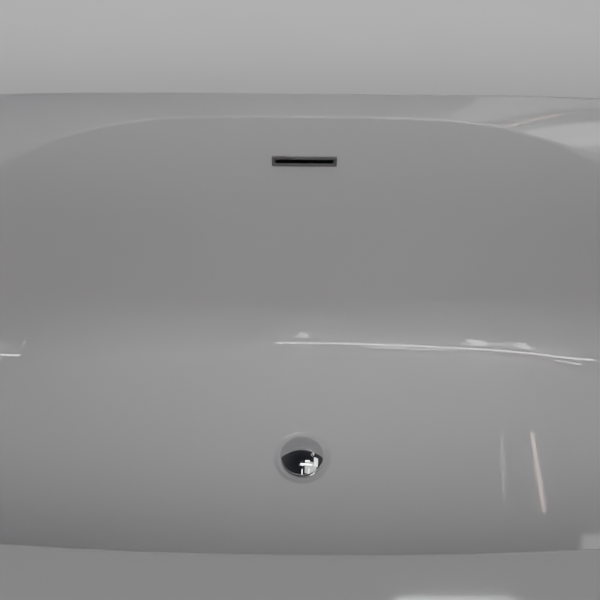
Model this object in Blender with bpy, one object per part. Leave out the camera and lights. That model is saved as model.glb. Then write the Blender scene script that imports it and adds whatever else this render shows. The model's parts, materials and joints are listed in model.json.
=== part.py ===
"""Freestanding acrylic bathtub with a central pop-up waste and a slot overflow in one long wall.

Frame: +X along the tub, +Y towards the long wall that holds the overflow, +Z up.
The origin is on the floor under the middle of the tub. Units are metres.

Assembly, as it comes apart on a bench:
  inner_shell (basin and rim) glued over outer_shell, with a sealant bead in the seam;
  a base board and a welded box-section frame under the basin, on four levelling feet;
  a click-clack waste (cap, seal, stem, cartridge, spring) screwed into a flanged drain body;
  a waste tee under it, joined by a hose to the overflow box behind the slot.
"""

import math

import bpy
import numpy as np
from mathutils import Matrix, Vector

# ----------------------------------------------------------------- driving dimensions
LENGTH, WIDTH, HEIGHT = 1.700, 0.800, 0.580
RIM_N = 4.0                                   # superellipse exponent of the outer rim
WELL_TOP = (0.775, 0.318, 2.4)                # half length, half width, exponent at the rim
WELL_FLOOR = (0.568, 0.2674, 6.5)              # the same where wall and floor would meet
FLOOR_FLAT = (0.486, 0.2005, 5.0)              # the same where the flat of the floor starts
BASE = (0.700, 0.305, 2.8)                    # outer shell where it meets the floor
DIP = 0.085                                   # how far the rim's inner edge dips at the ends
DECK_EDGE_R = 0.012                           # outer edge of the rim
LIP_Z = 0.545                                 # lower edge of the rim's down-turned lip
SHELL_T, SKIRT_T = 0.006, 0.005
FLOOR_Z = 0.165                               # inside floor beside the drain dish
FLOOR_RISE_X, FLOOR_RISE_Y = 0.0045, 0.0025   # fall to the drain, along and across
DISH_R, DISH_DEPTH = 0.047, 0.0045
DRAIN_HOLE_R = 0.0255
COLUMNS = 48                                  # points round each shell

OVERFLOW_Z = 0.5105
TRIM_W, TRIM_H, SLOT_W, SLOT_H = 0.100, 0.017, 0.089, 0.0064

CAP_R, CAP_RISE, CAP_BAND = 0.034, 0.0088, 0.0022
CAP_Z = 0.1686                                # lower rim of the closed cap
PLUG_TRAVEL = 0.009

FOOT_X, FOOT_Y = 0.42, 0.205
RAIL_Y = 0.130
FEET = {"front_left": (-1, -1), "front_right": (1, -1), "back_left": (-1, 1), "back_right": (1, 1)}
STUD_R = 0.006                                # M12, 1.75 mm pitch

GAP = 0.0003


# ----------------------------------------------------------------- scene and materials
for old in list(bpy.data.objects):
    bpy.data.objects.remove(old)


def material(name, colour, roughness, metallic=0.0):
    m = bpy.data.materials.new(name)
    m.use_nodes = True
    b = m.node_tree.nodes["Principled BSDF"]
    b.inputs["Base Color"].default_value = (*colour, 1.0)
    b.inputs["Roughness"].default_value = roughness
    b.inputs["Metallic"].default_value = metallic
    m.diffuse_color = (*colour, 1.0)
    return m


ACRYLIC = material("white_acrylic", (0.78, 0.78, 0.77), 0.08)
CHROME = material("polished_chrome", (0.80, 0.80, 0.81), 0.05, 1.0)
DARK_CHROME = material("satin_chrome", (0.32, 0.32, 0.33), 0.25, 1.0)
ZINC = material("zinc_plated_steel", (0.62, 0.62, 0.60), 0.35, 1.0)
FRAME_PAINT = material("grey_frame_paint", (0.30, 0.31, 0.32), 0.55)
PLYWOOD = material("birch_plywood", (0.62, 0.47, 0.30), 0.7)
RUBBER = material("black_rubber", (0.03, 0.03, 0.03), 0.8)
WHITE_PP = material("white_polypropylene", (0.72, 0.72, 0.70), 0.4)
BLACK_PP = material("black_polypropylene", (0.05, 0.05, 0.05), 0.5)
BRASS = material("brass", (0.72, 0.53, 0.27), 0.3, 1.0)
SEALANT = material("white_sealant", (0.74, 0.74, 0.72), 0.5)


# ----------------------------------------------------------------- mesh helpers
def add(name, verts, faces, mat, at=(0.0, 0.0, 0.0), smooth=True, helper=False):
    mesh = bpy.data.meshes.new(name)
    mesh.from_pydata([tuple(map(float, v)) for v in verts], [], faces)
    mesh.validate()
    mesh.update()
    ob = bpy.data.objects.new(name, mesh)
    bpy.context.scene.collection.objects.link(ob)
    ob.location = at
    mesh.materials.append(mat)
    if smooth:
        mesh.shade_smooth()
        mesh.set_sharp_from_angle(angle=math.radians(35))
    if helper:
        ob.hide_render = True
        ob.display_type = "WIRE"
    return ob


def volume(verts, faces):
    total = 0.0
    for f in faces:
        for k in range(1, len(f) - 1):
            a, b, c = (np.array(verts[i]) for i in (f[0], f[k], f[k + 1]))
            total += float(np.dot(a, np.cross(b, c)))
    return total


def lofted(name, stations, mat, at=(0.0, 0.0, 0.0), ring=False, smooth=True, helper=False):
    """A skin over stations of equal point count. ring=True joins the last to the first; otherwise both ends are capped."""
    n = len(stations[0])
    verts = [tuple(p) for s in stations for p in s]
    faces = []
    last = len(stations) if ring else len(stations) - 1
    for k in range(last):
        a, b = k * n, ((k + 1) % len(stations)) * n
        for i in range(n):
            j = (i + 1) % n
            faces.append((a + i, a + j, b + j, b + i))
    if not ring:
        faces.append(tuple(reversed(range(n))))
        end = (len(stations) - 1) * n
        faces.append(tuple(range(end, end + n)))
    if volume(verts, faces) < 0:
        faces = [tuple(reversed(f)) for f in faces]
    return add(name, verts, faces, mat, at, smooth, helper)


def circle(r, z, n, phase=0.0):
    return [(r * math.cos(2 * math.pi * i / n + phase), r * math.sin(2 * math.pi * i / n + phase), z) for i in range(n)]


def hexagon(across_flats, z, n):
    """A hexagon sampled at n points, n a multiple of 6, the points at equal angles."""
    out = []
    for i in range(n):
        a = 2 * math.pi * i / n
        d = (a % (math.pi / 3)) - math.pi / 6
        r = across_flats / 2 / math.cos(d)
        out.append((r * math.cos(a), r * math.sin(a), z))
    return out


def squared(hx, hy, z, n, shift=(0.0, 0.0)):
    """A rectangle sampled at n points, n a multiple of 8, with a point on every corner."""
    out = []
    for i in range(n):
        a = 2 * math.pi * i / n
        c, s = math.cos(a), math.sin(a)
        k = 1.0 / max(abs(c), abs(s))
        out.append((hx * c * k + shift[0], hy * s * k + shift[1], z))
    return out


def box(name, lo, hi, mat, helper=False, frame=None):
    x0, y0, z0 = lo
    x1, y1, z1 = hi
    v = [(x0, y0, z0), (x1, y0, z0), (x1, y1, z0), (x0, y1, z0), (x0, y0, z1), (x1, y0, z1), (x1, y1, z1), (x0, y1, z1)]
    f = [(3, 2, 1, 0), (4, 5, 6, 7), (0, 1, 5, 4), (1, 2, 6, 5), (2, 3, 7, 6), (3, 0, 4, 7)]
    if frame is not None:
        v = [tuple(frame @ Vector(p)) for p in v]
    return add(name, v, f, mat, smooth=False, helper=helper)


def rod(name, a, b, r, n, mat, helper=True):
    """A cylinder from point a to point b."""
    a, b = Vector(a), Vector(b)
    turn = (b - a).to_track_quat("Z", "Y").to_matrix()
    rings = []
    for end in (a, b):
        rings.append([tuple(end + turn @ Vector(p)) for p in circle(r, 0.0, n)])
    return lofted(name, rings, mat, helper=helper)


def boolean(ob, other, operation):
    m = ob.modifiers.new(operation.lower() + "_" + other.name, "BOOLEAN")
    m.operation = operation
    m.solver = "EXACT"
    m.object = other


# ----------------------------------------------------------------- outlines
def outline(a, b, n, count, turn_share=0.5):
    """(points, outward normals) round a superellipse. The points are spread by arc length and by turning together, so corners get more."""
    t = np.linspace(0.0, 1.0, 8001)
    p = n / 2
    g = t**p / (t**p + (1 - t) ** p)
    c, s = np.cos(g * math.pi / 2), np.sin(g * math.pi / 2)
    c[-1] = 0.0
    x, y = a * np.abs(c) ** (2 / n), b * np.abs(s) ** (2 / n)
    nx, ny = np.abs(c) ** (2 * (n - 1) / n) / a, np.abs(s) ** (2 * (n - 1) / n) / b
    phi = np.arctan2(ny, nx)
    run = np.concatenate([[0.0], np.cumsum(np.hypot(np.diff(x), np.diff(y)))])
    f = (run / run[-1] + turn_share * phi / (math.pi / 2)) / (1 + turn_share)
    q = count // 4
    at = np.linspace(0.0, 1.0, q + 1)
    px, py, pa = np.interp(at, f, x), np.interp(at, f, y), np.interp(at, f, phi)
    px[-1], py[0] = 0.0, 0.0
    pts, nrm = [], []
    for k in range(count):
        quad, i = divmod(k, q)
        j = i if quad % 2 == 0 else q - i
        sx = 1 if quad in (0, 3) else -1
        sy = 1 if quad in (0, 1) else -1
        pts.append((sx * px[j], sy * py[j]))
        nrm.append((sx * math.cos(pa[j]), sy * math.sin(pa[j])))
    return np.array(pts), np.array(nrm)


def step(x):
    x = np.clip(x, 0.0, 1.0)
    return x * x * (3 - 2 * x)


def floor_z(x, y):
    return FLOOR_Z + FLOOR_RISE_X * (x / WELL_FLOOR[0]) ** 2 + FLOOR_RISE_Y * (y / WELL_FLOOR[1]) ** 2


def at_height(xy, z):
    z = np.broadcast_to(np.asarray(z, float), (len(xy),))
    return np.column_stack([xy, z])


def arc(a, corner, b, count):
    """count points inside a round blend from a to b, tangent to a-corner and corner-b."""
    u, v = corner - a, b - corner
    cosine = (u * v).sum(1) / np.linalg.norm(u, axis=1) / np.linalg.norm(v, axis=1)
    w = np.sqrt((1 + np.clip(cosine, -1, 1)) / 2)[:, None]
    out = []
    for k in range(1, count + 1):
        t = k / (count + 1)
        p, m, q = (1 - t) ** 2, 2 * w * t * (1 - t), t * t
        out.append((p * a + m * corner + q * b) / (p + m + q))
    return out


def well(thickness, rim_arc, deck_steps, roll_arc, wall_steps, fillet_arc, floor_steps, dish):
    """Stations of the basin's surface, from the rim's lip to the drain hole, thickness below and behind the seen face."""
    out_xy, out_n = outline(LENGTH / 2, WIDTH / 2, RIM_N, COLUMNS)
    top_xy, top_n = outline(*WELL_TOP, COLUMNS)
    low_xy, low_n = outline(*WELL_FLOOR, COLUMNS)
    end_xy, _ = outline(*FLOOR_FLAT, COLUMNS)
    ax = np.abs(top_xy[:, 0])
    # the rim dips towards both ends, and the edge between rim and wall is crisp in the middle of the long sides and soft at the ends
    dip = DIP * (1 - np.exp(-0.40 * np.maximum(0.0, (ax - 0.15) / 0.23) ** 2.5))
    roll = 0.0031 + 0.030 * step((ax - 0.35) / 0.22)
    slope = np.hypot(*(top_xy - low_xy).T) / (HEIGHT - FLOOR_Z)
    lean = np.arctan(slope)
    half = np.tan((math.pi / 2 - lean) / 2)
    if thickness:
        push = (thickness * (1 - np.sin(lean)) / np.cos(lean))[:, None]
        top_xy, low_xy = top_xy + top_n * push, low_xy + low_n * push
        roll = np.maximum(roll - thickness * half, 0.0015)
    end_p = at_height(end_xy, floor_z(*end_xy.T) - thickness)
    gx = 2 * FLOOR_RISE_X * end_xy[:, 0] / WELL_FLOOR[0] ** 2
    gy = 2 * FLOOR_RISE_Y * end_xy[:, 1] / WELL_FLOOR[1] ** 2
    away = low_xy - end_xy
    fillet = np.linalg.norm(away, axis=1)
    low_p = at_height(low_xy, end_p[:, 2] + gx * away[:, 0] + gy * away[:, 1])
    top_p = at_height(top_xy, HEIGHT - thickness)
    down = low_p - top_p
    length = np.linalg.norm(down, axis=1)[:, None]
    down = down / length
    edge_p = at_height(out_xy - out_n * DECK_EDGE_R, HEIGHT - thickness)
    crest = edge_p + (top_p - edge_p) * 0.40
    crease = top_p - down * (dip / down[:, 2])[:, None]
    inner = crest - crease
    roll_a = crease + inner * (roll / np.linalg.norm(inner, axis=1))[:, None]
    roll_b = crease + down * roll[:, None]
    fillet_a = low_p - down * fillet[:, None]

    r = DECK_EDGE_R - thickness
    stations = [at_height(out_xy - out_n * thickness, LIP_Z), at_height(out_xy - out_n * thickness, HEIGHT - DECK_EDGE_R)]
    for k in range(1, rim_arc + 2):
        a = math.pi / 2 * k / (rim_arc + 1)
        stations.append(at_height(out_xy - out_n * (DECK_EDGE_R - r * math.cos(a)), HEIGHT - DECK_EDGE_R + r * math.sin(a)))
    for k in range(1, deck_steps + 1):
        t = k / (deck_steps + 1)
        stations.append((1 - t) ** 2 * edge_p + 2 * t * (1 - t) * crest + t * t * roll_a)
    stations.append(roll_a)
    stations += arc(roll_a, crease, roll_b, roll_arc)
    stations.append(roll_b)
    stations += [roll_b + (fillet_a - roll_b) * k / (wall_steps + 1) for k in range(1, wall_steps + 1)]
    stations.append(fillet_a)
    stations += arc(fillet_a, low_p, end_p, fillet_arc)
    stations.append(end_p)
    turn = 2 * math.pi * np.arange(COLUMNS) / COLUMNS
    spoke = np.column_stack([np.cos(turn), np.sin(turn)])
    first = spoke * dish[0][0]
    for k in range(1, floor_steps + 1):
        xy = end_xy + (first - end_xy) * k / (floor_steps + 1)
        stations.append(at_height(xy, floor_z(*xy.T) - thickness))
    for r_dish, z_dish in dish:
        stations.append(at_height(spoke * r_dish, z_dish))
    return stations


# ----------------------------------------------------------------- shells
seat_z = FLOOR_Z - DISH_DEPTH
seen = well(0.0, 1, 3, 1, 1, 3, 1,
            [(DISH_R, FLOOR_Z), (0.0400, seat_z + 0.0018), (0.0360, seat_z), (DRAIN_HOLE_R, seat_z)])
back = well(SHELL_T, 1, 2, 1, 1, 3, 1,
            [(0.0560, FLOOR_Z - SHELL_T), (0.0420, seat_z - SHELL_T), (DRAIN_HOLE_R, seat_z - SHELL_T)])
inner_shell = lofted("inner_shell", seen + back[::-1], ACRYLIC, ring=True)

rim_xy, rim_n = outline(LENGTH / 2, WIDTH / 2, RIM_N, COLUMNS)
base_xy, base_n = outline(*BASE, COLUMNS)
tuck = SHELL_T + 0.0005


def skirt_level(z, inset):
    q = max(0.0, (LIP_Z - z) / (LIP_Z - 0.006)) ** 1.6
    xy = (rim_xy - rim_n * tuck) * (1 - q) + base_xy * q
    n = rim_n * (1 - q) + base_n * q
    n = n / np.linalg.norm(n, axis=1)[:, None]
    return at_height(xy - n * inset, z)


levels = [0.562, LIP_Z, 0.470, 0.380, 0.290, 0.200, 0.110, 0.045, 0.006]
skirt = [skirt_level(z, 0.0) for z in levels]
flange = [skirt_level(0.006, 0.040)]
flange_top = skirt_level(0.006, 0.040)
flange_top[:, 2] = 0.011
inside_foot = skirt_level(0.006, SKIRT_T)
inside_foot[:, 2] = 0.011
inside = [skirt_level(z, SKIRT_T) for z in levels[:-1]]
outer_shell = lofted("outer_shell", skirt + flange + [flange_top, inside_foot] + inside[::-1], ACRYLIC, ring=True)

bead = []
for inset, z in ((tuck - GAP, LIP_Z - GAP), (0.0024, LIP_Z - GAP), (tuck - GAP, 0.5400)):
    bead.append(at_height(rim_xy - rim_n * inset, z))
lofted("rim_seam_bead", bead, SEALANT, ring=True)

# ----------------------------------------------------------------- overflow, in a frame that lies on the wall
wall_run = (WELL_TOP[1] - WELL_FLOOR[1]) / (HEIGHT - floor_z(0.0, WELL_FLOOR[1]))
wall_lean = math.atan(wall_run)
overflow_y = WELL_TOP[1] - (HEIGHT - OVERFLOW_Z) * wall_run
# columns: along the tub, up the wall, out of the wall into the basin
wall = Matrix(((1, 0, 0, 0), (0, math.sin(wall_lean), -math.cos(wall_lean), overflow_y),
               (0, math.cos(wall_lean), math.sin(wall_lean), OVERFLOW_Z), (0, 0, 0, 1)))


def slot_ring(w, h, r, n_out, corner=2):
    """A rounded rectangle w by h on the wall, n_out proud of it."""
    pts = []
    for sx, sy, a0 in ((1, 1, 0), (-1, 1, 90), (-1, -1, 180), (1, -1, 270)):
        for k in range(corner + 1):
            a = math.radians(a0 + 90 * k / corner)
            pts.append((sx * (w / 2 - r) + r * math.cos(a), sy * (h / 2 - r) + r * math.sin(a), n_out))
    return [tuple(wall @ Vector(p)) for p in pts]


cut = lofted("overflow_cut", [slot_ring(0.0956, 0.0132, 0.0022, 0.02), slot_ring(0.0956, 0.0132, 0.0022, -0.03)], ACRYLIC, helper=True)
boolean(inner_shell, cut, "DIFFERENCE")

trim = [slot_ring(TRIM_W, TRIM_H, 0.0012, 0.0008), slot_ring(TRIM_W, TRIM_H, 0.0012, 0.0018),
        slot_ring(TRIM_W - 0.0008, TRIM_H - 0.0008, 0.0010, 0.0022),
        slot_ring(SLOT_W + 0.0008, SLOT_H + 0.0008, 0.0014, 0.0022), slot_ring(SLOT_W, SLOT_H, 0.0012, 0.0018),
        slot_ring(SLOT_W, SLOT_H, 0.0012, -0.0082), slot_ring(0.0940, 0.0116, 0.0018, -0.0082), slot_ring(0.0940, 0.0116, 0.0018, 0.0008)]
lofted("overflow_trim", trim, DARK_CHROME, ring=True)

gasket = [slot_ring(0.110, 0.026, 0.004, -0.0068), slot_ring(0.110, 0.026, 0.004, -0.0092),
          slot_ring(0.0962, 0.0138, 0.0024, -0.0092), slot_ring(0.0962, 0.0138, 0.0024, -0.0068)]
lofted("overflow_gasket", gasket, RUBBER, ring=True)

housing = box("overflow_box", (-0.057, -0.044, -0.044), (0.057, 0.015, -0.0096), WHITE_PP, frame=wall)
spigot_y = (wall @ Vector((0.0, -0.030, -0.030)))[1]
spigot_z = 0.4530
neck = rod("overflow_neck", (0, spigot_y, 0.495), (0, spigot_y, spigot_z), 0.0140, 16, WHITE_PP)
boolean(housing, neck, "UNION")
boolean(housing, box("overflow_hollow", (-0.0545, -0.0415, -0.0415), (0.0545, 0.0125, -0.0121), WHITE_PP, helper=True, frame=wall), "DIFFERENCE")
boolean(housing, box("overflow_mouth", (-0.0485, -0.0072, -0.020), (0.0485, 0.0072, 0.001), WHITE_PP, helper=True, frame=wall), "DIFFERENCE")
boolean(housing, rod("overflow_bore", (0, spigot_y, 0.4870), (0, spigot_y, 0.437), 0.0110, 16, WHITE_PP), "DIFFERENCE")

# ----------------------------------------------------------------- waste, on the axis x = y = 0
SEG = 24
flange_z = seat_z + 0.0021


def turned(name, profile, mat, at=(0.0, 0.0, 0.0), n=SEG, helper=False):
    """A ring turned from a closed profile of (radius, height) points."""
    return lofted(name, [circle(r, z, n) for r, z in profile], mat, at, ring=True, helper=helper)


def spun(name, profile, mat, at=(0.0, 0.0, 0.0), n=SEG, helper=False):
    """A solid turned from an open profile, capped flat at both ends."""
    return lofted(name, [circle(r, z, n) for r, z in profile], mat, at, helper=helper)


turned("drain_upper_gasket", [(0.0262, seat_z + GAP), (0.0332, seat_z + GAP), (0.0332, flange_z - GAP), (0.0262, flange_z - GAP)], RUBBER)
drain = turned("drain_body", [(0.0200, flange_z + 0.0005), (0.0215, flange_z + 0.0025), (0.0330, flange_z + 0.0025), (0.0340, flange_z + 0.0016),
                              (0.0340, flange_z), (0.0238, flange_z), (0.0238, 0.118), (0.0200, 0.118)], CHROME)
hub = spun("drain_hub", [(0.0125, 0.126), (0.0125, 0.134)], CHROME, helper=True)
boolean(drain, box("drain_bar_x", (-0.0220, -0.002, 0.1265), (0.0220, 0.002, 0.1335), CHROME, helper=True), "UNION")
boolean(drain, box("drain_bar_y", (-0.002, -0.0220, 0.1268), (0.002, 0.0220, 0.1332), CHROME, helper=True), "UNION")
boolean(drain, hub, "UNION")
boolean(drain, spun("drain_hub_bore", [(0.0098, 0.120), (0.0098, 0.140)], CHROME, helper=True), "DIFFERENCE")

cap_profile = [(0.0290, CAP_Z + 0.0016), (0.0322, CAP_Z), (0.0336, CAP_Z + 0.0003), (CAP_R, CAP_Z + 0.0008), (CAP_R, CAP_Z + CAP_BAND)]
sphere = (CAP_R**2 + CAP_RISE**2) / (2 * CAP_RISE)
edge = math.asin(CAP_R / sphere)
for k in range(1, 6):
    a = edge * (1 - k / 6)
    cap_profile.append((sphere * math.sin(a), CAP_Z + CAP_BAND + CAP_RISE - sphere * (1 - math.cos(a))))
cap_top = CAP_Z + CAP_BAND + CAP_RISE
cap_profile.append((0.0008, cap_top))
spun("plug_cap", [(0.0006, CAP_Z + 0.0016)] + cap_profile, CHROME, n=32)
seal_top = CAP_Z + 0.0016 - GAP
turned("plug_seal", [(0.0100, seal_top - 0.0040), (0.0272, seal_top - 0.0040), (0.0285, seal_top - 0.0026), (0.0285, seal_top), (0.0100, seal_top)], RUBBER)
spun("plug_stem", [(0.0056, 0.1262), (0.0056, 0.1300), (0.0038, 0.1312), (0.0038, 0.1560), (0.0062, 0.1572), (0.0062, 0.1592), (0.0038, 0.1604),
                   (0.0038, seal_top)], BRASS, n=16)
turned("latch_cartridge", [(0.0095, 0.1080), (0.0095, 0.1500), (0.0088, 0.1510), (0.0042, 0.1510), (0.0042, 0.1480), (0.0062, 0.1468),
                           (0.0062, 0.1100), (0.0020, 0.1100), (0.0020, 0.1080)], WHITE_PP, n=16)

turns, per_turn = 5, 8
coil = bpy.data.curves.new("plug_spring", "CURVE")
coil.dimensions = "3D"
coil.bevel_depth, coil.bevel_resolution, coil.use_fill_caps = 0.0006, 1, True
line = coil.splines.new("POLY")
line.points.add(turns * per_turn)
for k in range(turns * per_turn + 1):
    a = 2 * math.pi * k / per_turn
    line.points[k].co = (0.0050 * math.cos(a), 0.0050 * math.sin(a), 0.1109 + 0.0144 * k / (turns * per_turn), 1.0)
spring = bpy.data.objects.new("plug_spring", coil)
coil.materials.append(ZINC)
bpy.context.scene.collection.objects.link(spring)

shell_low = seat_z - SHELL_T
turned("drain_lower_gasket", [(0.0243, shell_low - 0.0040), (0.0360, shell_low - 0.0040), (0.0360, shell_low - GAP), (0.0243, shell_low - GAP)], RUBBER)
nut_top = shell_low - 0.0043
lofted("drain_backnut", [circle(0.0243, nut_top - 0.0090, SEG), hexagon(0.064, nut_top - 0.0090, SEG), hexagon(0.064, nut_top - 0.0020, SEG),
                         circle(0.0345, nut_top, SEG), circle(0.0243, nut_top, SEG)], WHITE_PP, ring=True)

tee = spun("waste_tee", [(0.0240, 0.0820), (0.0275, 0.0850), (0.0275, 0.1360)], BLACK_PP)
OUT_Z, IN_Z = 0.1040, 0.1000
boolean(tee, rod("tee_inlet", (0, 0.010, IN_Z), (0, 0.0655, IN_Z), 0.0140, 16, BLACK_PP), "UNION")
boolean(tee, rod("tee_outlet", (-0.010, 0, OUT_Z), (-0.0750, 0, OUT_Z), 0.0200, 20, BLACK_PP), "UNION")
boolean(tee, spun("tee_hollow", [(0.0242, 0.0865), (0.0242, 0.1500)], BLACK_PP, helper=True), "DIFFERENCE")
boolean(tee, rod("tee_inlet_bore", (0, 0.004, IN_Z), (0, 0.0800, IN_Z), 0.0110, 16, BLACK_PP), "DIFFERENCE")
boolean(tee, rod("tee_outlet_bore", (-0.004, 0, OUT_Z), (-0.0900, 0, OUT_Z), 0.0170, 20, BLACK_PP), "DIFFERENCE")
lofted("waste_union_nut", [circle(0.0279, 0.1260, SEG), hexagon(0.0640, 0.1260, SEG), hexagon(0.0640, 0.1380, SEG), circle(0.0242, 0.1395, SEG),
                           circle(0.0242, 0.1364, SEG), circle(0.0279, 0.1364, SEG)], WHITE_PP, ring=True)

# overflow hose, held between the overflow box and the tee
knots = np.array([(0, spigot_y, spigot_z - GAP), (0, spigot_y, spigot_z - 0.030), (0, 0.3320, 0.3700), (0, 0.3260, 0.3000), (0, 0.3130, 0.2250),
                  (0, 0.2830, 0.1600), (0, 0.2250, 0.1170), (0, 0.1500, IN_Z + 0.0010), (0, 0.0950, IN_Z), (0, 0.0655 + GAP, IN_Z)])


def through(points, samples):
    """Points evenly spaced along a smooth curve through the given ones."""
    p = np.vstack([2 * points[0] - points[1], points, 2 * points[-1] - points[-2]])
    fine = []
    for i in range(1, len(p) - 2):
        for t in np.linspace(0, 1, 24, endpoint=False):
            fine.append(0.5 * (2 * p[i] + (p[i + 1] - p[i - 1]) * t + (2 * p[i - 1] - 5 * p[i] + 4 * p[i + 1] - p[i + 2]) * t**2
                               + (3 * p[i] - p[i - 1] - 3 * p[i + 1] + p[i + 2]) * t**3))
    fine.append(p[-2])
    fine = np.array(fine)
    run = np.concatenate([[0.0], np.cumsum(np.linalg.norm(np.diff(fine, axis=0), axis=1))])
    at = np.linspace(0, run[-1], samples)
    return np.column_stack([np.interp(at, run, fine[:, k]) for k in range(3)])


hose_data = bpy.data.curves.new("overflow_hose", "CURVE")
hose_data.dimensions = "3D"
hose_data.bevel_depth, hose_data.bevel_resolution, hose_data.use_fill_caps = 0.0140, 2, True
path = through(knots, 22)
run = hose_data.splines.new("POLY")
run.points.add(len(path) - 1)
for k, p in enumerate(path):
    run.points[k].co = (*map(float, p), 1.0)
hose_data.materials.append(WHITE_PP)
bpy.context.scene.collection.objects.link(bpy.data.objects.new("overflow_hose", hose_data))

for name, centre, turn in (("hose_clamp_upper", Vector((0, spigot_y, spigot_z - 0.011)), Matrix.Identity(3)),
                           ("hose_clamp_lower", Vector((0, 0.0655 + 0.011, IN_Z)), Matrix.Rotation(math.radians(90), 3, "X"))):
    rings = []
    for r, z in ((0.0146, -0.0045), (0.0162, -0.0045), (0.0162, 0.0045), (0.0146, 0.0045)):
        rings.append([tuple(centre + turn @ Vector(p)) for p in circle(r, z, 20)])
    lofted(name, rings, ZINC, ring=True)

# ----------------------------------------------------------------- base board and welded frame
board_top = FLOOR_Z - SHELL_T - 0.0005
board_low = board_top - 0.015
board = box("base_board", (-0.470, -0.165, board_low), (0.470, 0.165, board_top), PLYWOOD)
boolean(board, spun("board_hole", [(0.062, board_low - 0.01), (0.062, board_top + 0.01)], PLYWOOD, helper=True), "DIFFERENCE")


def tube(name, a, b, hx, hz, wall_t, mat):
    """An open-ended rectangular tube from a to b, level, hx and hz its half width and half height."""
    a, b = Vector(a), Vector(b)
    along = (b - a).normalized()
    side = along.cross(Vector((0, 0, 1)))

    def ring_at(p, dx, dz):
        return [tuple(p + side * (sx * dx) + Vector((0, 0, sz * dz))) for sx, sz in ((1, 1), (-1, 1), (-1, -1), (1, -1))]

    s = [ring_at(a, hx, hz), ring_at(b, hx, hz), ring_at(b, hx - wall_t, hz - wall_t), ring_at(a, hx - wall_t, hz - wall_t)]
    return lofted(name, s, mat, ring=True, smooth=False)


rail_z = board_low - GAP - 0.0125
tube("frame_rail_front", (-0.50, -RAIL_Y, rail_z), (0.50, -RAIL_Y, rail_z), 0.0125, 0.0125, 0.0020, FRAME_PAINT)
tube("frame_rail_back", (-0.50, RAIL_Y, rail_z), (0.50, RAIL_Y, rail_z), 0.0125, 0.0125, 0.0020, FRAME_PAINT)
cross_z = rail_z - 0.0125 - GAP - 0.0125
for side_name, sx in (("left", -1), ("right", 1)):
    tube("frame_crossmember_" + side_name, (sx * FOOT_X, -0.182, cross_z), (sx * FOOT_X, 0.182, cross_z), 0.0125, 0.0125, 0.0020, FRAME_PAINT)
    tube("frame_tie_" + side_name, (sx * 0.150, -0.148, cross_z), (sx * 0.150, 0.148, cross_z), 0.0125, 0.0125, 0.0020, FRAME_PAINT)

plate_top = cross_z - 0.0125 - GAP
for corner, (sx, sy) in FEET.items():
    at = (sx * FOOT_X, sy * FOOT_Y, 0.0)
    inner = -sy * 0.0225
    bore = STUD_R + 0.0005
    # plate under the end of the crossmember, with the welded nut on top of it outside the tube
    lofted("foot_bracket_" + corner, [squared(0.025, 0.0425, plate_top - 0.005, 24, (0, inner)), squared(0.025, 0.0425, plate_top, 24, (0, inner)),
                                      hexagon(0.019, plate_top, 24), hexagon(0.019, plate_top + 0.010, 24),
                                      circle(bore, plate_top + 0.010, 24), circle(bore, plate_top - 0.005, 24)],
           FRAME_PAINT, at=at, ring=True, smooth=False)
    nut_z = plate_top - 0.005 - GAP
    lofted("foot_locknut_" + corner, [circle(bore, nut_z - 0.008, 12), hexagon(0.019, nut_z - 0.008, 12), hexagon(0.019, nut_z, 12), circle(bore, nut_z, 12)],
           ZINC, at=at, ring=True, smooth=False)
    lofted("foot_stud_" + corner, [circle(0.0052, 0.0093, 12), circle(STUD_R, 0.0103, 12), circle(STUD_R, 0.0160, 12), hexagon(0.017, 0.0160, 12),
                                         hexagon(0.017, 0.0230, 12), circle(STUD_R, 0.0230, 12), circle(STUD_R, 0.1220, 12), circle(0.0048, 0.1235, 12)],
           ZINC, at=at)
    lofted("foot_pad_" + corner, [circle(0.0235, 0.0, 16), circle(0.0250, 0.0015, 16), circle(0.0250, 0.0060, 16), circle(0.0140, 0.0140, 16), circle(0.0066, 0.0140, 16),
                                  circle(0.0066, 0.0090, 16)], BLACK_PP, at=at)

# ----------------------------------------------------------------- straps that tie the skirt's foot flange to the rails
strap = [(0.4560, rail_z - 0.0125 - GAP), (0.5150, rail_z - 0.0125 - GAP), (0.6220, 0.0113 + 0.0030), (0.6550, 0.0113 + 0.0030)]
for corner, (sx, sy) in FEET.items():
    stations = []
    for k, (x, z) in enumerate(strap):
        low = z - 0.0030
        shift = 0.0024 if k in (1, 2) else 0.0
        y = sy * RAIL_Y
        stations.append([(sx * x, y - 0.015, z), (sx * x, y + 0.015, z), (sx * (x - shift), y + 0.015, low), (sx * (x - shift), y - 0.015, low)])
    lofted("skirt_strap_" + corner, stations, FRAME_PAINT, smooth=False)
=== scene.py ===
"""Freestanding bathtub: fine surfaces, materials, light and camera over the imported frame."""

import json
import math

import bpy
import numpy as np
from mathutils import Matrix, Vector


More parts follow.
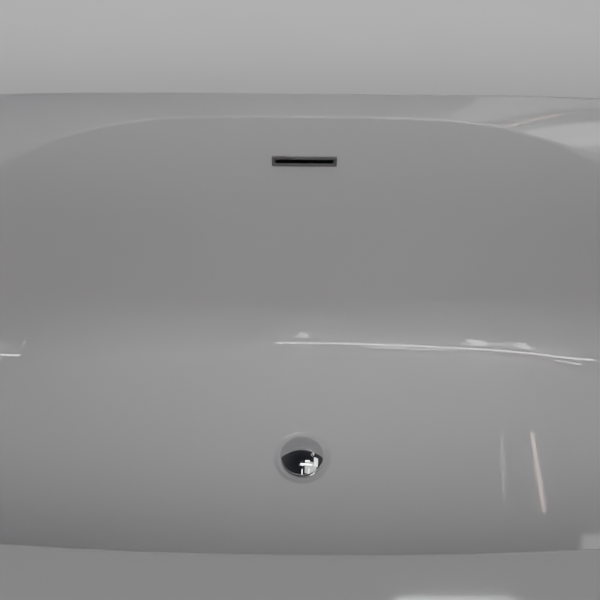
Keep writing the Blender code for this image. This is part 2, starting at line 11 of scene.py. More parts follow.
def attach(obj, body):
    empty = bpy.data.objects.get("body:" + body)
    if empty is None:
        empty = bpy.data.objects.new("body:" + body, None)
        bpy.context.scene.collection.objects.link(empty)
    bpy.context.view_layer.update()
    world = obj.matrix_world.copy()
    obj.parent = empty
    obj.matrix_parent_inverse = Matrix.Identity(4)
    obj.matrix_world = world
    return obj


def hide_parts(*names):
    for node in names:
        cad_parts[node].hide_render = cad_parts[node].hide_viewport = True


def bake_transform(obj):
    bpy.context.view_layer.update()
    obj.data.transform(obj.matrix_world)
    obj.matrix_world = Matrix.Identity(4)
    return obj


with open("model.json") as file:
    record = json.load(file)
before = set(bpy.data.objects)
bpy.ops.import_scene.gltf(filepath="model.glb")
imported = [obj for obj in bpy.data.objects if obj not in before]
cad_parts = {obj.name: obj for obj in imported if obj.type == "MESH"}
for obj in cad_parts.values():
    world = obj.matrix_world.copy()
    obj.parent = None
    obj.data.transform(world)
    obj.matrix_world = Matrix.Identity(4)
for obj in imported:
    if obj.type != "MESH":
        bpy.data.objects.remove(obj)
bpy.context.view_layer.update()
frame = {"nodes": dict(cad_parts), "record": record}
nodes = frame["nodes"]
CORNERS = {"front_left": (-1, -1), "front_right": (1, -1), "back_left": (-1, 1), "back_right": (1, 1)}

# ------------------------------------------------------------------ dimensions, as in the CAD model
LENGTH, WIDTH, HEIGHT = 1.700, 0.800, 0.580
RIM_N = 4.0
WELL_TOP = (0.775, 0.318, 2.4)
WELL_FLOOR = (0.568, 0.2674, 6.5)
FLOOR_FLAT = (0.486, 0.2005, 5.0)
BASE = (0.700, 0.305, 2.8)
DIP = 0.085
DECK_EDGE_R = 0.012
LIP_Z = 0.545
SHELL_T, SKIRT_T = 0.006, 0.005
FLOOR_Z = 0.165
FLOOR_RISE_X, FLOOR_RISE_Y = 0.0045, 0.0025
DISH_R, DISH_DEPTH = 0.047, 0.0045
DRAIN_HOLE_R = 0.0255
OVERFLOW_Z = 0.5105
TRIM_W, TRIM_H, SLOT_W, SLOT_H = 0.100, 0.017, 0.089, 0.0064
CAP_R, CAP_RISE, CAP_BAND = 0.034, 0.0088, 0.0022
CAP_Z = 0.1686
FOOT_X, FOOT_Y = 0.42, 0.205
STUD_R, PITCH = 0.006, 0.00175
COLUMNS = 320


# ------------------------------------------------------------------ mesh tools
made = []


def add(name, verts, faces, body, slot, replace=(), smooth=True, sharp=35):
    mesh = bpy.data.meshes.new(name)
    mesh.from_pydata([tuple(map(float, v)) for v in verts], [], faces)
    mesh.validate()
    mesh.update()
    ob = bpy.data.objects.new(name, mesh)
    bpy.context.scene.collection.objects.link(ob)
    if smooth:
        mesh.shade_smooth()
        mesh.set_sharp_from_angle(angle=math.radians(sharp))
    if body:
        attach(ob, body)
        if replace:
            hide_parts(*replace)
        made.append((ob, slot))
    return ob


def loft_data(stations, ring=False, caps=True):
    n = len(stations[0])
    verts = np.vstack([np.asarray(s, float) for s in stations])
    faces = []
    last = len(stations) if ring else len(stations) - 1
    for k in range(last):
        a, b = k * n, ((k + 1) % len(stations)) * n
        for i in range(n):
            j = (i + 1) % n
            faces.append((a + i, a + j, b + j, b + i))
    if not ring and caps:
        faces.append(tuple(reversed(range(n))))
        end = (len(stations) - 1) * n
        faces.append(tuple(range(end, end + n)))
    total = 0.0
    for f in faces:
        p = verts[list(f)]
        total += float(np.einsum("ij,ij->i", np.broadcast_to(p[0], p[1:-1].shape), np.cross(p[1:-1], p[2:])).sum())
    if total < 0:
        faces = [tuple(reversed(f)) for f in faces]
    return verts, faces


def lofted(name, stations, body, slot, replace=(), ring=False, smooth=True, sharp=35):
    v, f = loft_data(stations, ring)
    return add(name, v, f, body, slot, replace, smooth, sharp)


def circle(r, z, n, centre=(0.0, 0.0)):
    a = 2 * np.pi * np.arange(n) / n
    return np.column_stack([r * np.cos(a) + centre[0], r * np.sin(a) + centre[1], np.full(n, z)])


def turned(name, profile, body, slot, replace=(), n=96, centre=(0.0, 0.0), ring=True, sharp=35):
    return lofted(name, [circle(r, z, n, centre) for r, z in profile], body, slot, replace, ring=ring, sharp=sharp)


def rounded(points, radius, steps=4, closed=True):
    """A polyline's corners replaced by arcs. radius is one number or one for each point."""
    pts = [np.array(p, float) for p in points]
    out = []
    n = len(pts)
    for i, p in enumerate(pts):
        r = radius[i] if isinstance(radius, (list, tuple)) else radius
        if r <= 0 or (not closed and i in (0, n - 1)):
            out.append(p)
            continue
        a, b = pts[i - 1] - p, pts[(i + 1) % n] - p
        la, lb = np.linalg.norm(a), np.linalg.norm(b)
        a, b = a / la, b / lb
        cosine = float(np.clip(np.dot(a, b), -1, 1))
        half = math.acos(cosine) / 2
        if half > math.pi / 2 - 0.02:
            out.append(p)
            continue
        d = min(r / math.tan(half), la * 0.45, lb * 0.45)
        w = math.sin(half)
        s, e = p + a * d, p + b * d
        for k in range(steps + 1):
            t = k / steps
            q = ((1 - t) ** 2, 2 * w * t * (1 - t), t * t)
            out.append((s * q[0] + p * q[1] + e * q[2]) / sum(q))
    return out


# ------------------------------------------------------------------ outlines and the well's surface
def outline(a, b, n, count, turn_share=0.5):
    t = np.linspace(0.0, 1.0, 8001)
    p = n / 2
    g = t**p / (t**p + (1 - t) ** p)
    c, s = np.cos(g * math.pi / 2), np.sin(g * math.pi / 2)
    c[-1] = 0.0
    x, y = a * np.abs(c) ** (2 / n), b * np.abs(s) ** (2 / n)
    nx, ny = np.abs(c) ** (2 * (n - 1) / n) / a, np.abs(s) ** (2 * (n - 1) / n) / b
    phi = np.arctan2(ny, nx)
    run = np.concatenate([[0.0], np.cumsum(np.hypot(np.diff(x), np.diff(y)))])
    f = (run / run[-1] + turn_share * phi / (math.pi / 2)) / (1 + turn_share)
    q = count // 4
    at = np.linspace(0.0, 1.0, q + 1)
    px, py, pa = np.interp(at, f, x), np.interp(at, f, y), np.interp(at, f, phi)
    px[-1], py[0] = 0.0, 0.0
    pts, nrm = [], []
    for k in range(count):
        quad, i = divmod(k, q)
        j = i if quad % 2 == 0 else q - i
        sx = 1 if quad in (0, 3) else -1
        sy = 1 if quad in (0, 1) else -1
        pts.append((sx * px[j], sy * py[j]))
        nrm.append((sx * math.cos(pa[j]), sy * math.sin(pa[j])))
    return np.array(pts), np.array(nrm)


def step(x):
    x = np.clip(x, 0.0, 1.0)
    return x * x * (3 - 2 * x)


def floor_z(x, y):
    return FLOOR_Z + FLOOR_RISE_X * (x / WELL_FLOOR[0]) ** 2 + FLOOR_RISE_Y * (y / WELL_FLOOR[1]) ** 2


def at_height(xy, z):
    z = np.broadcast_to(np.asarray(z, float), (len(xy),))
    return np.column_stack([xy, z])


def arc(a, corner, b, count):
    u, v = corner - a, b - corner
    cosine = (u * v).sum(1) / np.linalg.norm(u, axis=1) / np.linalg.norm(v, axis=1)
    w = np.sqrt((1 + np.clip(cosine, -1, 1)) / 2)[:, None]
    out = []
    for k in range(1, count + 1):
        t = k / (count + 1)
        p, m, q = (1 - t) ** 2, 2 * w * t * (1 - t), t * t
        out.append((p * a + m * corner + q * b) / (p + m + q))
    return out


def well(thickness, rim_arc, deck_steps, roll_arc, wall_steps, fillet_arc, floor_steps, dish, lip):
    out_xy, out_n = outline(LENGTH / 2, WIDTH / 2, RIM_N, COLUMNS)
    top_xy, top_n = outline(*WELL_TOP, COLUMNS)
    low_xy, low_n = outline(*WELL_FLOOR, COLUMNS)
    end_xy, _ = outline(*FLOOR_FLAT, COLUMNS)
    ax = np.abs(top_xy[:, 0])
    dip = DIP * (1 - np.exp(-0.40 * np.maximum(0.0, (ax - 0.15) / 0.23) ** 2.5))
    roll = 0.0031 + 0.030 * step((ax - 0.35) / 0.22)
    slope = np.hypot(*(top_xy - low_xy).T) / (HEIGHT - FLOOR_Z)
    lean = np.arctan(slope)
    half = np.tan((math.pi / 2 - lean) / 2)
    if thickness:
        push = (thickness * (1 - np.sin(lean)) / np.cos(lean))[:, None]
        top_xy, low_xy = top_xy + top_n * push, low_xy + low_n * push
        roll = np.maximum(roll - thickness * half, 0.0015)
    end_p = at_height(end_xy, floor_z(*end_xy.T) - thickness)
    gx = 2 * FLOOR_RISE_X * end_xy[:, 0] / WELL_FLOOR[0] ** 2
    gy = 2 * FLOOR_RISE_Y * end_xy[:, 1] / WELL_FLOOR[1] ** 2
    away = low_xy - end_xy
    fillet = np.linalg.norm(away, axis=1)
    low_p = at_height(low_xy, end_p[:, 2] + gx * away[:, 0] + gy * away[:, 1])
    top_p = at_height(top_xy, HEIGHT - thickness)
    down = low_p - top_p
    down = down / np.linalg.norm(down, axis=1)[:, None]
    edge_p = at_height(out_xy - out_n * DECK_EDGE_R, HEIGHT - thickness)
    crest = edge_p + (top_p - edge_p) * 0.40
    crease = top_p - down * (dip / down[:, 2])[:, None]
    inner = crest - crease
    roll_a = crease + inner * (roll / np.linalg.norm(inner, axis=1))[:, None]
    roll_b = crease + down * roll[:, None]
    fillet_a = low_p - down * fillet[:, None]

    r = DECK_EDGE_R - thickness
    stations = [at_height(out_xy - out_n * (thickness + inset), z) for inset, z in lip]
    for k in range(1, rim_arc + 2):
        a = math.pi / 2 * k / (rim_arc + 1)
        stations.append(at_height(out_xy - out_n * (DECK_EDGE_R - r * math.cos(a)), HEIGHT - DECK_EDGE_R + r * math.sin(a)))
    for k in range(1, deck_steps + 1):
        t = k / (deck_steps + 1)
        stations.append((1 - t) ** 2 * edge_p + 2 * t * (1 - t) * crest + t * t * roll_a)
    stations.append(roll_a)
    stations += arc(roll_a, crease, roll_b, roll_arc)
    stations.append(roll_b)
    stations += [roll_b + (fillet_a - roll_b) * k / (wall_steps + 1) for k in range(1, wall_steps + 1)]
    stations.append(fillet_a)
    stations += arc(fillet_a, low_p, end_p, fillet_arc)
    stations.append(end_p)
    turn = 2 * math.pi * np.arange(COLUMNS) / COLUMNS
    spoke = np.column_stack([np.cos(turn), np.sin(turn)])
    first = spoke * dish[0][0]
    for k in range(1, floor_steps + 1):
        xy = end_xy + (first - end_xy) * k / (floor_steps + 1)
        stations.append(at_height(xy, floor_z(*xy.T) - thickness))
    for r_dish, z_dish in dish:
        stations.append(at_height(spoke * r_dish, z_dish))
    return stations


# ------------------------------------------------------------------ basin and rim
seat_z = FLOOR_Z - DISH_DEPTH
dish_seen = []
for k in range(15):
    t = k / 14
    dish_seen.append((DISH_R + (0.0360 - DISH_R) * t, FLOOR_Z - DISH_DEPTH * float(step(t))))
dish_seen += [(0.0320, seat_z), (0.0280, seat_z), (DRAIN_HOLE_R + 0.0005, seat_z), (DRAIN_HOLE_R, seat_z - 0.0005)]
seen = well(0.0, 8, 14, 10, 14, 16, 10, dish_seen,
            [(0.0007, LIP_Z), (0.0, LIP_Z + 0.0007), (0.0, LIP_Z + 0.008), (0.0, HEIGHT - DECK_EDGE_R)])
back = well(SHELL_T, 2, 5, 3, 5, 8, 4,
            [(0.0560, FLOOR_Z - SHELL_T), (0.0420, seat_z - SHELL_T), (DRAIN_HOLE_R + 0.0004, seat_z - SHELL_T), (DRAIN_HOLE_R, seat_z - SHELL_T + 0.0004)],
            [(-0.0007, LIP_Z), (0.0, LIP_Z + 0.0007), (0.0, HEIGHT - DECK_EDGE_R)])
basin = lofted("basin_and_rim", seen + back[::-1], "tub", "acrylic", ["inner_shell"], ring=True, sharp=50)

wall_run = (WELL_TOP[1] - WELL_FLOOR[1]) / (HEIGHT - floor_z(0.0, WELL_FLOOR[1]))
wall_lean = math.atan(wall_run)
overflow_y = WELL_TOP[1] - (HEIGHT - OVERFLOW_Z) * wall_run
wall = Matrix(((1, 0, 0, 0), (0, math.sin(wall_lean), -math.cos(wall_lean), overflow_y),
               (0, math.cos(wall_lean), math.sin(wall_lean), OVERFLOW_Z), (0, 0, 0, 1)))


def slot_ring(w, h, r, n_out, corner=6):
    pts = []
    for sx, sy, a0 in ((1, 1, 0), (-1, 1, 90), (-1, -1, 180), (1, -1, 270)):
        for k in range(corner + 1):
            a = math.radians(a0 + 90 * k / corner)
            pts.append((sx * (w / 2 - r) + r * math.cos(a), sy * (h / 2 - r) + r * math.sin(a), n_out))
    return [tuple(wall @ Vector(p)) for p in pts]


cut_v, cut_f = loft_data([slot_ring(0.0956, 0.0132, 0.0022, 0.02), slot_ring(0.0956, 0.0132, 0.0022, -0.03)])
cut = add("overflow_cut", cut_v, cut_f, None, None, smooth=False)
cutting = basin.modifiers.new("overflow_hole", "BOOLEAN")
cutting.operation, cutting.solver, cutting.object = "DIFFERENCE", "EXACT", cut
bpy.context.view_layer.update()
cut_mesh = bpy.data.meshes.new_from_object(basin.evaluated_get(bpy.context.evaluated_depsgraph_get()))
basin.modifiers.clear()
basin.data = cut_mesh
bpy.data.objects.remove(cut)
basin.data.shade_smooth()
basin.data.set_sharp_from_angle(angle=math.radians(50))

# ------------------------------------------------------------------ outer shell
rim_xy, rim_n = outline(LENGTH / 2, WIDTH / 2, RIM_N, COLUMNS)
base_xy, base_n = outline(*BASE, COLUMNS)
tuck = SHELL_T + 0.0005


def skirt_level(z, inset, at=None):
    q = max(0.0, (LIP_Z - z) / (LIP_Z - 0.006)) ** 1.6
    xy = (rim_xy - rim_n * tuck) * (1 - q) + base_xy * q
    n = rim_n * (1 - q) + base_n * q
    n = n / np.linalg.norm(n, axis=1)[:, None]
    return at_height(xy - n * inset, z if at is None else at)


# The CAD skirt is straight between these heights, and the fine one bulges past its chords by under a millimetre.
down_levels = [0.562] + list(np.linspace(LIP_Z, 0.012, 46))
skirt = [skirt_level(z, 0.0) for z in down_levels]
for k in range(1, 6):
    a = math.pi / 2 * k / 5
    skirt.append(skirt_level(0.006, 0.004 * (1 - math.cos(a)), 0.006 + 0.006 * (1 - math.sin(a))))
flange = [skirt_level(0.006, i) for i in (0.012, 0.028, 0.0394)] + [skirt_level(0.006, 0.040, 0.0066), skirt_level(0.006, 0.040, 0.0104), skirt_level(0.006, 0.0394, 0.011)]
inside_foot = [skirt_level(0.006, SKIRT_T + 0.004, 0.011), skirt_level(0.006, SKIRT_T + 0.0008, 0.0122), skirt_level(0.012, SKIRT_T, 0.016)]
inside = [skirt_level(z, SKIRT_T) for z in np.linspace(0.045, LIP_Z, 12)] + [skirt_level(0.562, SKIRT_T)]
lofted("outer_skirt", skirt + flange + inside_foot + inside, "tub", "acrylic", ["outer_shell"], ring=True, sharp=50)

bead_points = rounded([(tuck - 0.0003, LIP_Z - 0.0003), (0.0024, LIP_Z - 0.0003), (tuck - 0.0003, 0.5400)], [0, 0.0003, 0.0003], 3)
# a hollow-faced fillet of sealant, smoothed off with a fingertip
bead_rings = [at_height(rim_xy - rim_n * (tuck - 0.0003), LIP_Z - 0.0003)]
for k in range(9):
    t = k / 8
    corner = np.array([tuck - 0.0009, LIP_Z - 0.0014])
    a, b = np.array([0.0024, LIP_Z - 0.0003]), np.array([tuck - 0.0003, 0.5400])
    p = (1 - t) ** 2 * a + 2 * t * (1 - t) * corner + t * t * b
    bead_rings.append(at_height(rim_xy - rim_n * p[0], p[1]))
lofted("rim_seam_sealant", bead_rings, "tub", "sealant", ["rim_seam_bead"], ring=True)

# ------------------------------------------------------------------ overflow trim
trim_profile = [(TRIM_W, TRIM_H, 0.0012, 0.0008), (TRIM_W, TRIM_H, 0.0012, 0.0016), (TRIM_W - 0.0002, TRIM_H - 0.0002, 0.0012, 0.0019),
                (TRIM_W - 0.0008, TRIM_H - 0.0008, 0.0010, 0.0022), (SLOT_W + 0.0010, SLOT_H + 0.0010, 0.0014, 0.0022),
                (SLOT_W + 0.0003, SLOT_H + 0.0003, 0.0013, 0.0020), (SLOT_W, SLOT_H, 0.0012, 0.0016),
                (SLOT_W, SLOT_H, 0.0012, -0.0060), (SLOT_W, SLOT_H, 0.0012, -0.0082), (0.0940, 0.0116, 0.0018, -0.0082), (0.0940, 0.0116, 0.0018, 0.0008)]
lofted("overflow_slot_trim", [slot_ring(*p) for p in trim_profile], "tub", "dark_chrome", ["overflow_trim"], ring=True, sharp=30)

# ------------------------------------------------------------------ waste
flange_z = seat_z + 0.0021
turned("drain_flange_gasket", [(0.0262, seat_z + 0.0003), (0.0330, seat_z + 0.0003), (0.0332, seat_z + 0.0006), (0.0332, flange_z - 0.0006), (0.0330, flange_z - 0.0003),
                               (0.0262, flange_z - 0.0003)], "tub", "rubber", ["drain_upper_gasket"])

sphere = (CAP_R**2 + CAP_RISE**2) / (2 * CAP_RISE)
edge_angle = math.asin(CAP_R / sphere)
cap = [(0.0004, CAP_Z + 0.0016), (0.0150, CAP_Z + 0.0016), (0.0288, CAP_Z + 0.0016), (0.0292, CAP_Z + 0.0014), (0.0318, CAP_Z + 0.0002), (0.0324, CAP_Z + 0.0001), (0.0330, CAP_Z + 0.0002),
       (0.0337, CAP_Z + 0.0005), (0.03393, CAP_Z + 0.0008), (CAP_R, CAP_Z + 0.0012), (CAP_R, CAP_Z + CAP_BAND - 0.0005)]
crown = CAP_Z + CAP_BAND + CAP_RISE
shoulder = []
for k in range(0, 28):
    a = edge_angle * (1 - k / 28) * 0.995
    shoulder.append((sphere * math.sin(a), crown - sphere * (1 - math.cos(a))))
# a millimetre roll joins the band to the dome
shoulder = [p for p in shoulder if p[0] < CAP_R - 0.0007]
for k in range(1, 6):
    t = k / 6
    a0, a1, a2 = np.array([CAP_R, CAP_Z + CAP_BAND - 0.0005]), np.array([CAP_R, CAP_Z + CAP_BAND + 0.0001]), np.array(shoulder[0])
    cap.append(tuple((1 - t) ** 2 * a0 + 2 * t * (1 - t) * a1 + t * t * a2))
cap += shoulder
cap.append((0.0003, crown - 1e-6))
turned("plug_dome_cap", cap, "plug", "chrome", ["plug_cap"], n=160, ring=False, sharp=28)

plug_seal_top = CAP_Z + 0.0016 - 0.0003
turned("plug_lip_seal", [(0.0100, plug_seal_top - 0.0038), (0.0102, plug_seal_top - 0.0040), (0.0150, plug_seal_top - 0.0040), (0.0155, plug_seal_top - 0.0036),
                         (0.0180, plug_seal_top - 0.0036), (0.0185, plug_seal_top - 0.0040), (0.0266, plug_seal_top - 0.0040), (0.0274, plug_seal_top - 0.0038),
                         (0.0284, plug_seal_top - 0.0026), (0.0278, plug_seal_top - 0.0020), (0.0278, plug_seal_top - 0.0016), (0.0285, plug_seal_top - 0.0010),
                         (0.0285, plug_seal_top - 0.0003), (0.0282, plug_seal_top), (0.0100, plug_seal_top)],
       "plug", "rubber", ["plug_seal"], n=96)


def thread(r_out, r_in, z0, z1, pitch, n, centre=(0.0, 0.0), fine=8):
    """Rings of a right-hand thread between two heights, its ends run out to the core."""
    rings = []
    count = int(round((z1 - z0) / pitch * fine))
    a = 2 * np.pi * np.arange(n) / n
    for k in range(count + 1):
        z = z0 + (z1 - z0) * k / count
        saw = ((z - z0) / pitch - a / (2 * np.pi)) % 1.0
        ridge = 1 - np.abs(2 * saw - 1)
        ridge = np.clip(ridge * 1.35 - 0.12, 0, 1)
        run_out = min(1.0, (z - z0) / pitch, (z1 - z) / pitch)
        r = r_in + (r_out - r_in) * ridge * max(0.0, run_out)
        rings.append(np.column_stack([r * np.cos(a) + centre[0], r * np.sin(a) + centre[1], np.full(n, z)]))
    return rings


def hexagon(flats, z, n, centre=(0.0, 0.0), limit=None):
    """A hexagon's outline at n points. limit cuts its corners back to a circle, as the chamfer of a nut does."""
    a = 2 * np.pi * np.arange(n) / n
    d = (a % (np.pi / 3)) - np.pi / 6
    r = flats / 2 / np.cos(d)
    if limit is not None:
        r = np.minimum(r, limit)
    return np.column_stack([r * np.cos(a) + centre[0], r * np.sin(a) + centre[1], np.full(n, z)])


def nut_rings(flats, z0, z1, n, centre, chamfer=0.0012):
    """The outside of a chamfered hexagon nut, bottom to top."""
    corner = flats / 2 / math.cos(math.pi / 6)
    out = []
    for z, lim in ((z0, corner - chamfer), (z0 + chamfer * 0.55, corner), (z1 - chamfer * 0.55, corner), (z1, corner - chamfer)):
        out.append(hexagon(flats, z, n, centre, lim))
    return out


# ------------------------------------------------------------------ levelling feet
board_low = FLOOR_Z - SHELL_T - 0.0005 - 0.015
rail_z = board_low - 0.0003 - 0.0125
cross_z = rail_z - 0.0125 - 0.0003 - 0.0125
plate_top = cross_z - 0.0125 - 0.0003
for corner_name, (sx, sy) in CORNERS.items():
    at = (sx * FOOT_X, sy * FOOT_Y)
    n = 48
    stud = [circle(0.0040, 0.0093, n, at), circle(0.0052, 0.0096, n, at), circle(0.0059, 0.0106, n, at), circle(STUD_R, 0.0120, n, at), circle(STUD_R, 0.0160, n, at)]
    stud += nut_rings(0.017, 0.0160, 0.0230, n, at, 0.0009)
    stud += [circle(STUD_R, 0.0230, n, at), circle(STUD_R, 0.0250, n, at)]
    stud += thread(STUD_R, 0.00505, 0.0252, 0.1215, PITCH, n, at, 6)
    stud += [circle(0.0050, 0.1225, n, at), circle(0.0045, 0.1235, n, at)]
    lofted("levelling_stud_" + corner_name, stud, "foot_stud_" + corner_name, "zinc_steel", ["foot_stud_" + corner_name], sharp=40)
    nut_top = plate_top - 0.005 - 0.0003
    bore = STUD_R + 0.0005
    rings = [circle(bore, nut_top - 0.0074, n, at), circle(bore + 0.0006, nut_top - 0.008, n, at)] + nut_rings(0.019, nut_top - 0.008, nut_top, n, at, 0.0010)
    rings += [circle(bore + 0.0006, nut_top, n, at), circle(bore, nut_top - 0.0006, n, at)]
    lofted("lock_nut_" + corner_name, rings, "tub", "zinc_steel", ["foot_locknut_" + corner_name], ring=True, sharp=30)
    pad = []
    for r, z in rounded([(0.0225, 0.0), (0.0250, 0.0022), (0.0250, 0.0062), (0.0150, 0.0118), (0.0140, 0.0140), (0.0066, 0.0140), (0.0066, 0.0090)],
                        [0.0, 0.0010, 0.0012, 0.0030, 0.0006, 0.0004, 0.0], 4, closed=False):
        ring = circle(1.0, z, 96, (0, 0))[:, :2]
        # eight shallow ribs run down the cone of the pad
        rib = 0.00035 * np.clip(np.cos(8 * 2 * np.pi * np.arange(96) / 96) * 2.5 - 1.2, -0.4, 1.0) if 0.0152 < r < 0.0235 and z > 0.006 else 0.0
        pad.append(np.column_stack([ring * np.reshape(r + rib, (-1, 1)) + np.array(at), np.full(96, z)]))
    lofted("foot_pad_moulded_" + corner_name, pad, "foot_pad_" + corner_name, "black_plastic", ["foot_pad_" + corner_name], sharp=40)

# ------------------------------------------------------------------ overflow hose
SPIGOT_Z, IN_Z = 0.4530, 0.1000
spigot_y = float((wall @ Vector((0.0, -0.030, -0.030)))[1])
knots = np.array([(0, spigot_y, SPIGOT_Z - 0.0003), (0, spigot_y, SPIGOT_Z - 0.030), (0, 0.3320, 0.3700), (0, 0.3260, 0.3000), (0, 0.3130, 0.2250),
                  (0, 0.2830, 0.1600), (0, 0.2250, 0.1170), (0, 0.1500, IN_Z + 0.0010), (0, 0.0950, IN_Z), (0, 0.0655 + 0.0003, IN_Z)])


def through(points, samples):
    p = np.vstack([2 * points[0] - points[1], points, 2 * points[-1] - points[-2]])
    line = []
    for i in range(1, len(p) - 2):
        for t in np.linspace(0, 1, 60, endpoint=False):
            line.append(0.5 * (2 * p[i] + (p[i + 1] - p[i - 1]) * t + (2 * p[i - 1] - 5 * p[i] + 4 * p[i + 1] - p[i + 2]) * t**2
                               + (3 * p[i] - p[i - 1] - 3 * p[i + 1] + p[i + 2]) * t**3))
    line.append(p[-2])
    line = np.array(line)
    run = np.concatenate([[0.0], np.cumsum(np.linalg.norm(np.diff(line, axis=0), axis=1))])
    at = np.linspace(0, run[-1], samples)
    return np.column_stack([np.interp(at, run, line[:, k]) for k in range(3)]), run[-1]


coarse, hose_length = through(knots, 22)
run = np.concatenate([[0.0], np.cumsum(np.linalg.norm(np.diff(coarse, axis=0), axis=1))])
count = int(hose_length / 0.00055)
at = np.linspace(0, run[-1], count)
path = np.column_stack([np.interp(at, run, coarse[:, k]) for k in range(3)])
kernel = np.ones(31) / 31
smooth_path = path.copy()
for k in (1, 2):
    padded = np.concatenate([np.full(15, path[0, k]), path[:, k], np.full(15, path[-1, k])])
    smooth_path[:, k] = np.convolve(padded, kernel, "valid")
tangent = np.gradient(smooth_path, axis=0)
tangent /= np.linalg.norm(tangent, axis=1)[:, None]
side = np.array([1.0, 0.0, 0.0])
hose = []
a = 2 * np.pi * np.arange(40) / 40
for k in range(count):
    up = np.cross(tangent[k], side)
    s_at = at[k]
    cuff = min(s_at, run[-1] - s_at) < 0.024
    r = 0.0138 if cuff else 0.0127 + 0.0011 * (0.5 + 0.5 * math.cos(2 * math.pi * s_at / 0.0046))
    hose.append(smooth_path[k] + r * (np.outer(np.cos(a), side) + np.outer(np.sin(a), up)))
lofted("ribbed_overflow_hose", hose, "tub", "hose_plastic", ["overflow_hose"], sharp=60)

# band clamps, their bands slotted
for which, centre, axis_v, up_v in (("upper", (0, spigot_y, SPIGOT_Z - 0.011), (0, 0, 1), (0, -1, 0)), ("lower", (0, 0.0655 + 0.011, IN_Z), (0, 1, 0), (0, 0, -1))):
    centre, axis_v, up_v = np.array(centre, float), np.array(axis_v, float), np.array(up_v, float)
    right_v = np.cross(up_v, axis_v)
    rings = []
    for r, z in rounded([(0.0147, -0.0044), (0.0156, -0.0044), (0.0156, 0.0044), (0.0147, 0.0044)], 0.0003, 3):
        b = 2 * np.pi * np.arange(96) / 96
        slots = 0.00022 * (np.cos(b * 60) > 0.2) if abs(z) < 0.004 and r > 0.0152 else 0.0
        rr = r - slots
        rings.append(centre + np.outer(rr * np.cos(b), right_v) + np.outer(rr * np.sin(b), up_v) + axis_v * z)
    lofted("hose_band_" + which, rings, "tub", "zinc_steel", ["hose_clamp_" + which], ring=True, sharp=30)

# ------------------------------------------------------------------ drain body, nuts, tee
def merged(name, islands, body, slot, replace=(), sharp=30):
    """One piece made of several closed shells."""
    verts, faces = [], []
    for v, f in islands:
        start = len(verts)
        verts += [tuple(map(float, q)) for q in v]
        faces += [tuple(start + i for i in face) for face in f]
    return add(name, verts, faces, body, slot, replace, sharp=sharp)


def combine(base, tools):
    """The tools, joined to the base or cut out of it, as one mesh."""
    for operation, (v, f) in tools:
        tool = add("tool", v, f, None, None, smooth=False)
        step_of = base.modifiers.new("step", "BOOLEAN")
        step_of.operation, step_of.solver, step_of.object = operation, "EXACT", tool
        bpy.context.view_layer.update()
        mesh = bpy.data.meshes.new_from_object(base.evaluated_get(bpy.context.evaluated_depsgraph_get()))
        base.modifiers.clear()
        base.data = mesh
        bpy.data.objects.remove(tool)
    base.data.shade_smooth()
    base.data.set_sharp_from_angle(angle=math.radians(32))
    return base


def brick(low, high, bevel):
    """A box with a bevel on every edge."""
    low, high = np.array(low, float), np.array(high, float)
    c, h = (low + high) / 2, (high - low) / 2
    rings = []
    for z, inset in ((-h[2], bevel), (-h[2] + bevel, 0.0), (h[2] - bevel, 0.0), (h[2], bevel)):
        x, y = h[0] - inset, h[1] - inset
        k = bevel * 0.6
        rings.append([(c[0] + a, c[1] + b, c[2] + z) for a, b in ((x - k, -y), (x, -y + k), (x, y - k), (x - k, y), (-x + k, y), (-x, y - k), (-x, -y + k), (-x + k, -y))])
    return loft_data(rings)


def rod_data(a, b, radii, n=48):
    """A turned bar from a to b. radii are (share of the length, radius)."""
    a, b = np.array(a, float), np.array(b, float)
    w = (b - a) / np.linalg.norm(b - a)
    u = np.cross(w, [0.0, 0.0, 1.0] if abs(w[2]) < 0.9 else [1.0, 0.0, 0.0])
    u /= np.linalg.norm(u)
    v = np.cross(w, u)
    t = 2 * np.pi * np.arange(n) / n
    return loft_data([a + (b - a) * k + np.outer(r * np.cos(t), u) + np.outer(r * np.sin(t), v) for k, r in radii])


barrel = [(0.0200, 0.1184), (0.0200, flange_z + 0.0005), (0.0203, flange_z + 0.0013), (0.0209, flange_z + 0.0021), (0.0217, flange_z + 0.0025), (0.0326, flange_z + 0.0025),
          (0.0335, flange_z + 0.0022), (0.0340, flange_z + 0.0015), (0.0340, flange_z + 0.0003), (0.0337, flange_z), (0.0238, flange_z)]
turns_of = int((flange_z - 0.0040 - 0.1190) / 0.0018)
for k in range(turns_of * 4):
    z = flange_z - 0.0040 - 0.0018 * k / 4
    barrel.append((0.0238 - 0.0007 * (0.0, 0.5, 1.0, 0.5)[k % 4], z))
barrel += [(0.0236, 0.1186), (0.0232, 0.1180), (0.0204, 0.1180)]
spokes = [loft_data([circle(r, z, 96) for r, z in barrel], ring=True),
          loft_data([circle(r, z, 64) for r, z in rounded([(0.0098, 0.126), (0.0125, 0.126), (0.0125, 0.134), (0.0098, 0.134)], 0.0006, 3)], ring=True)]
for sign in (-1, 1):
    x0, x1 = sorted((sign * 0.0121, sign * 0.0204))
    spokes.append(brick((x0, -0.002, 0.1265), (x1, 0.002, 0.1335), 0.0007))
    spokes.append(brick((-0.002, x0, 0.1268), (0.002, x1, 0.1332), 0.0007))
merged("drain_flange_and_barrel", spokes, "tub", "chrome_body", ["drain_body"])

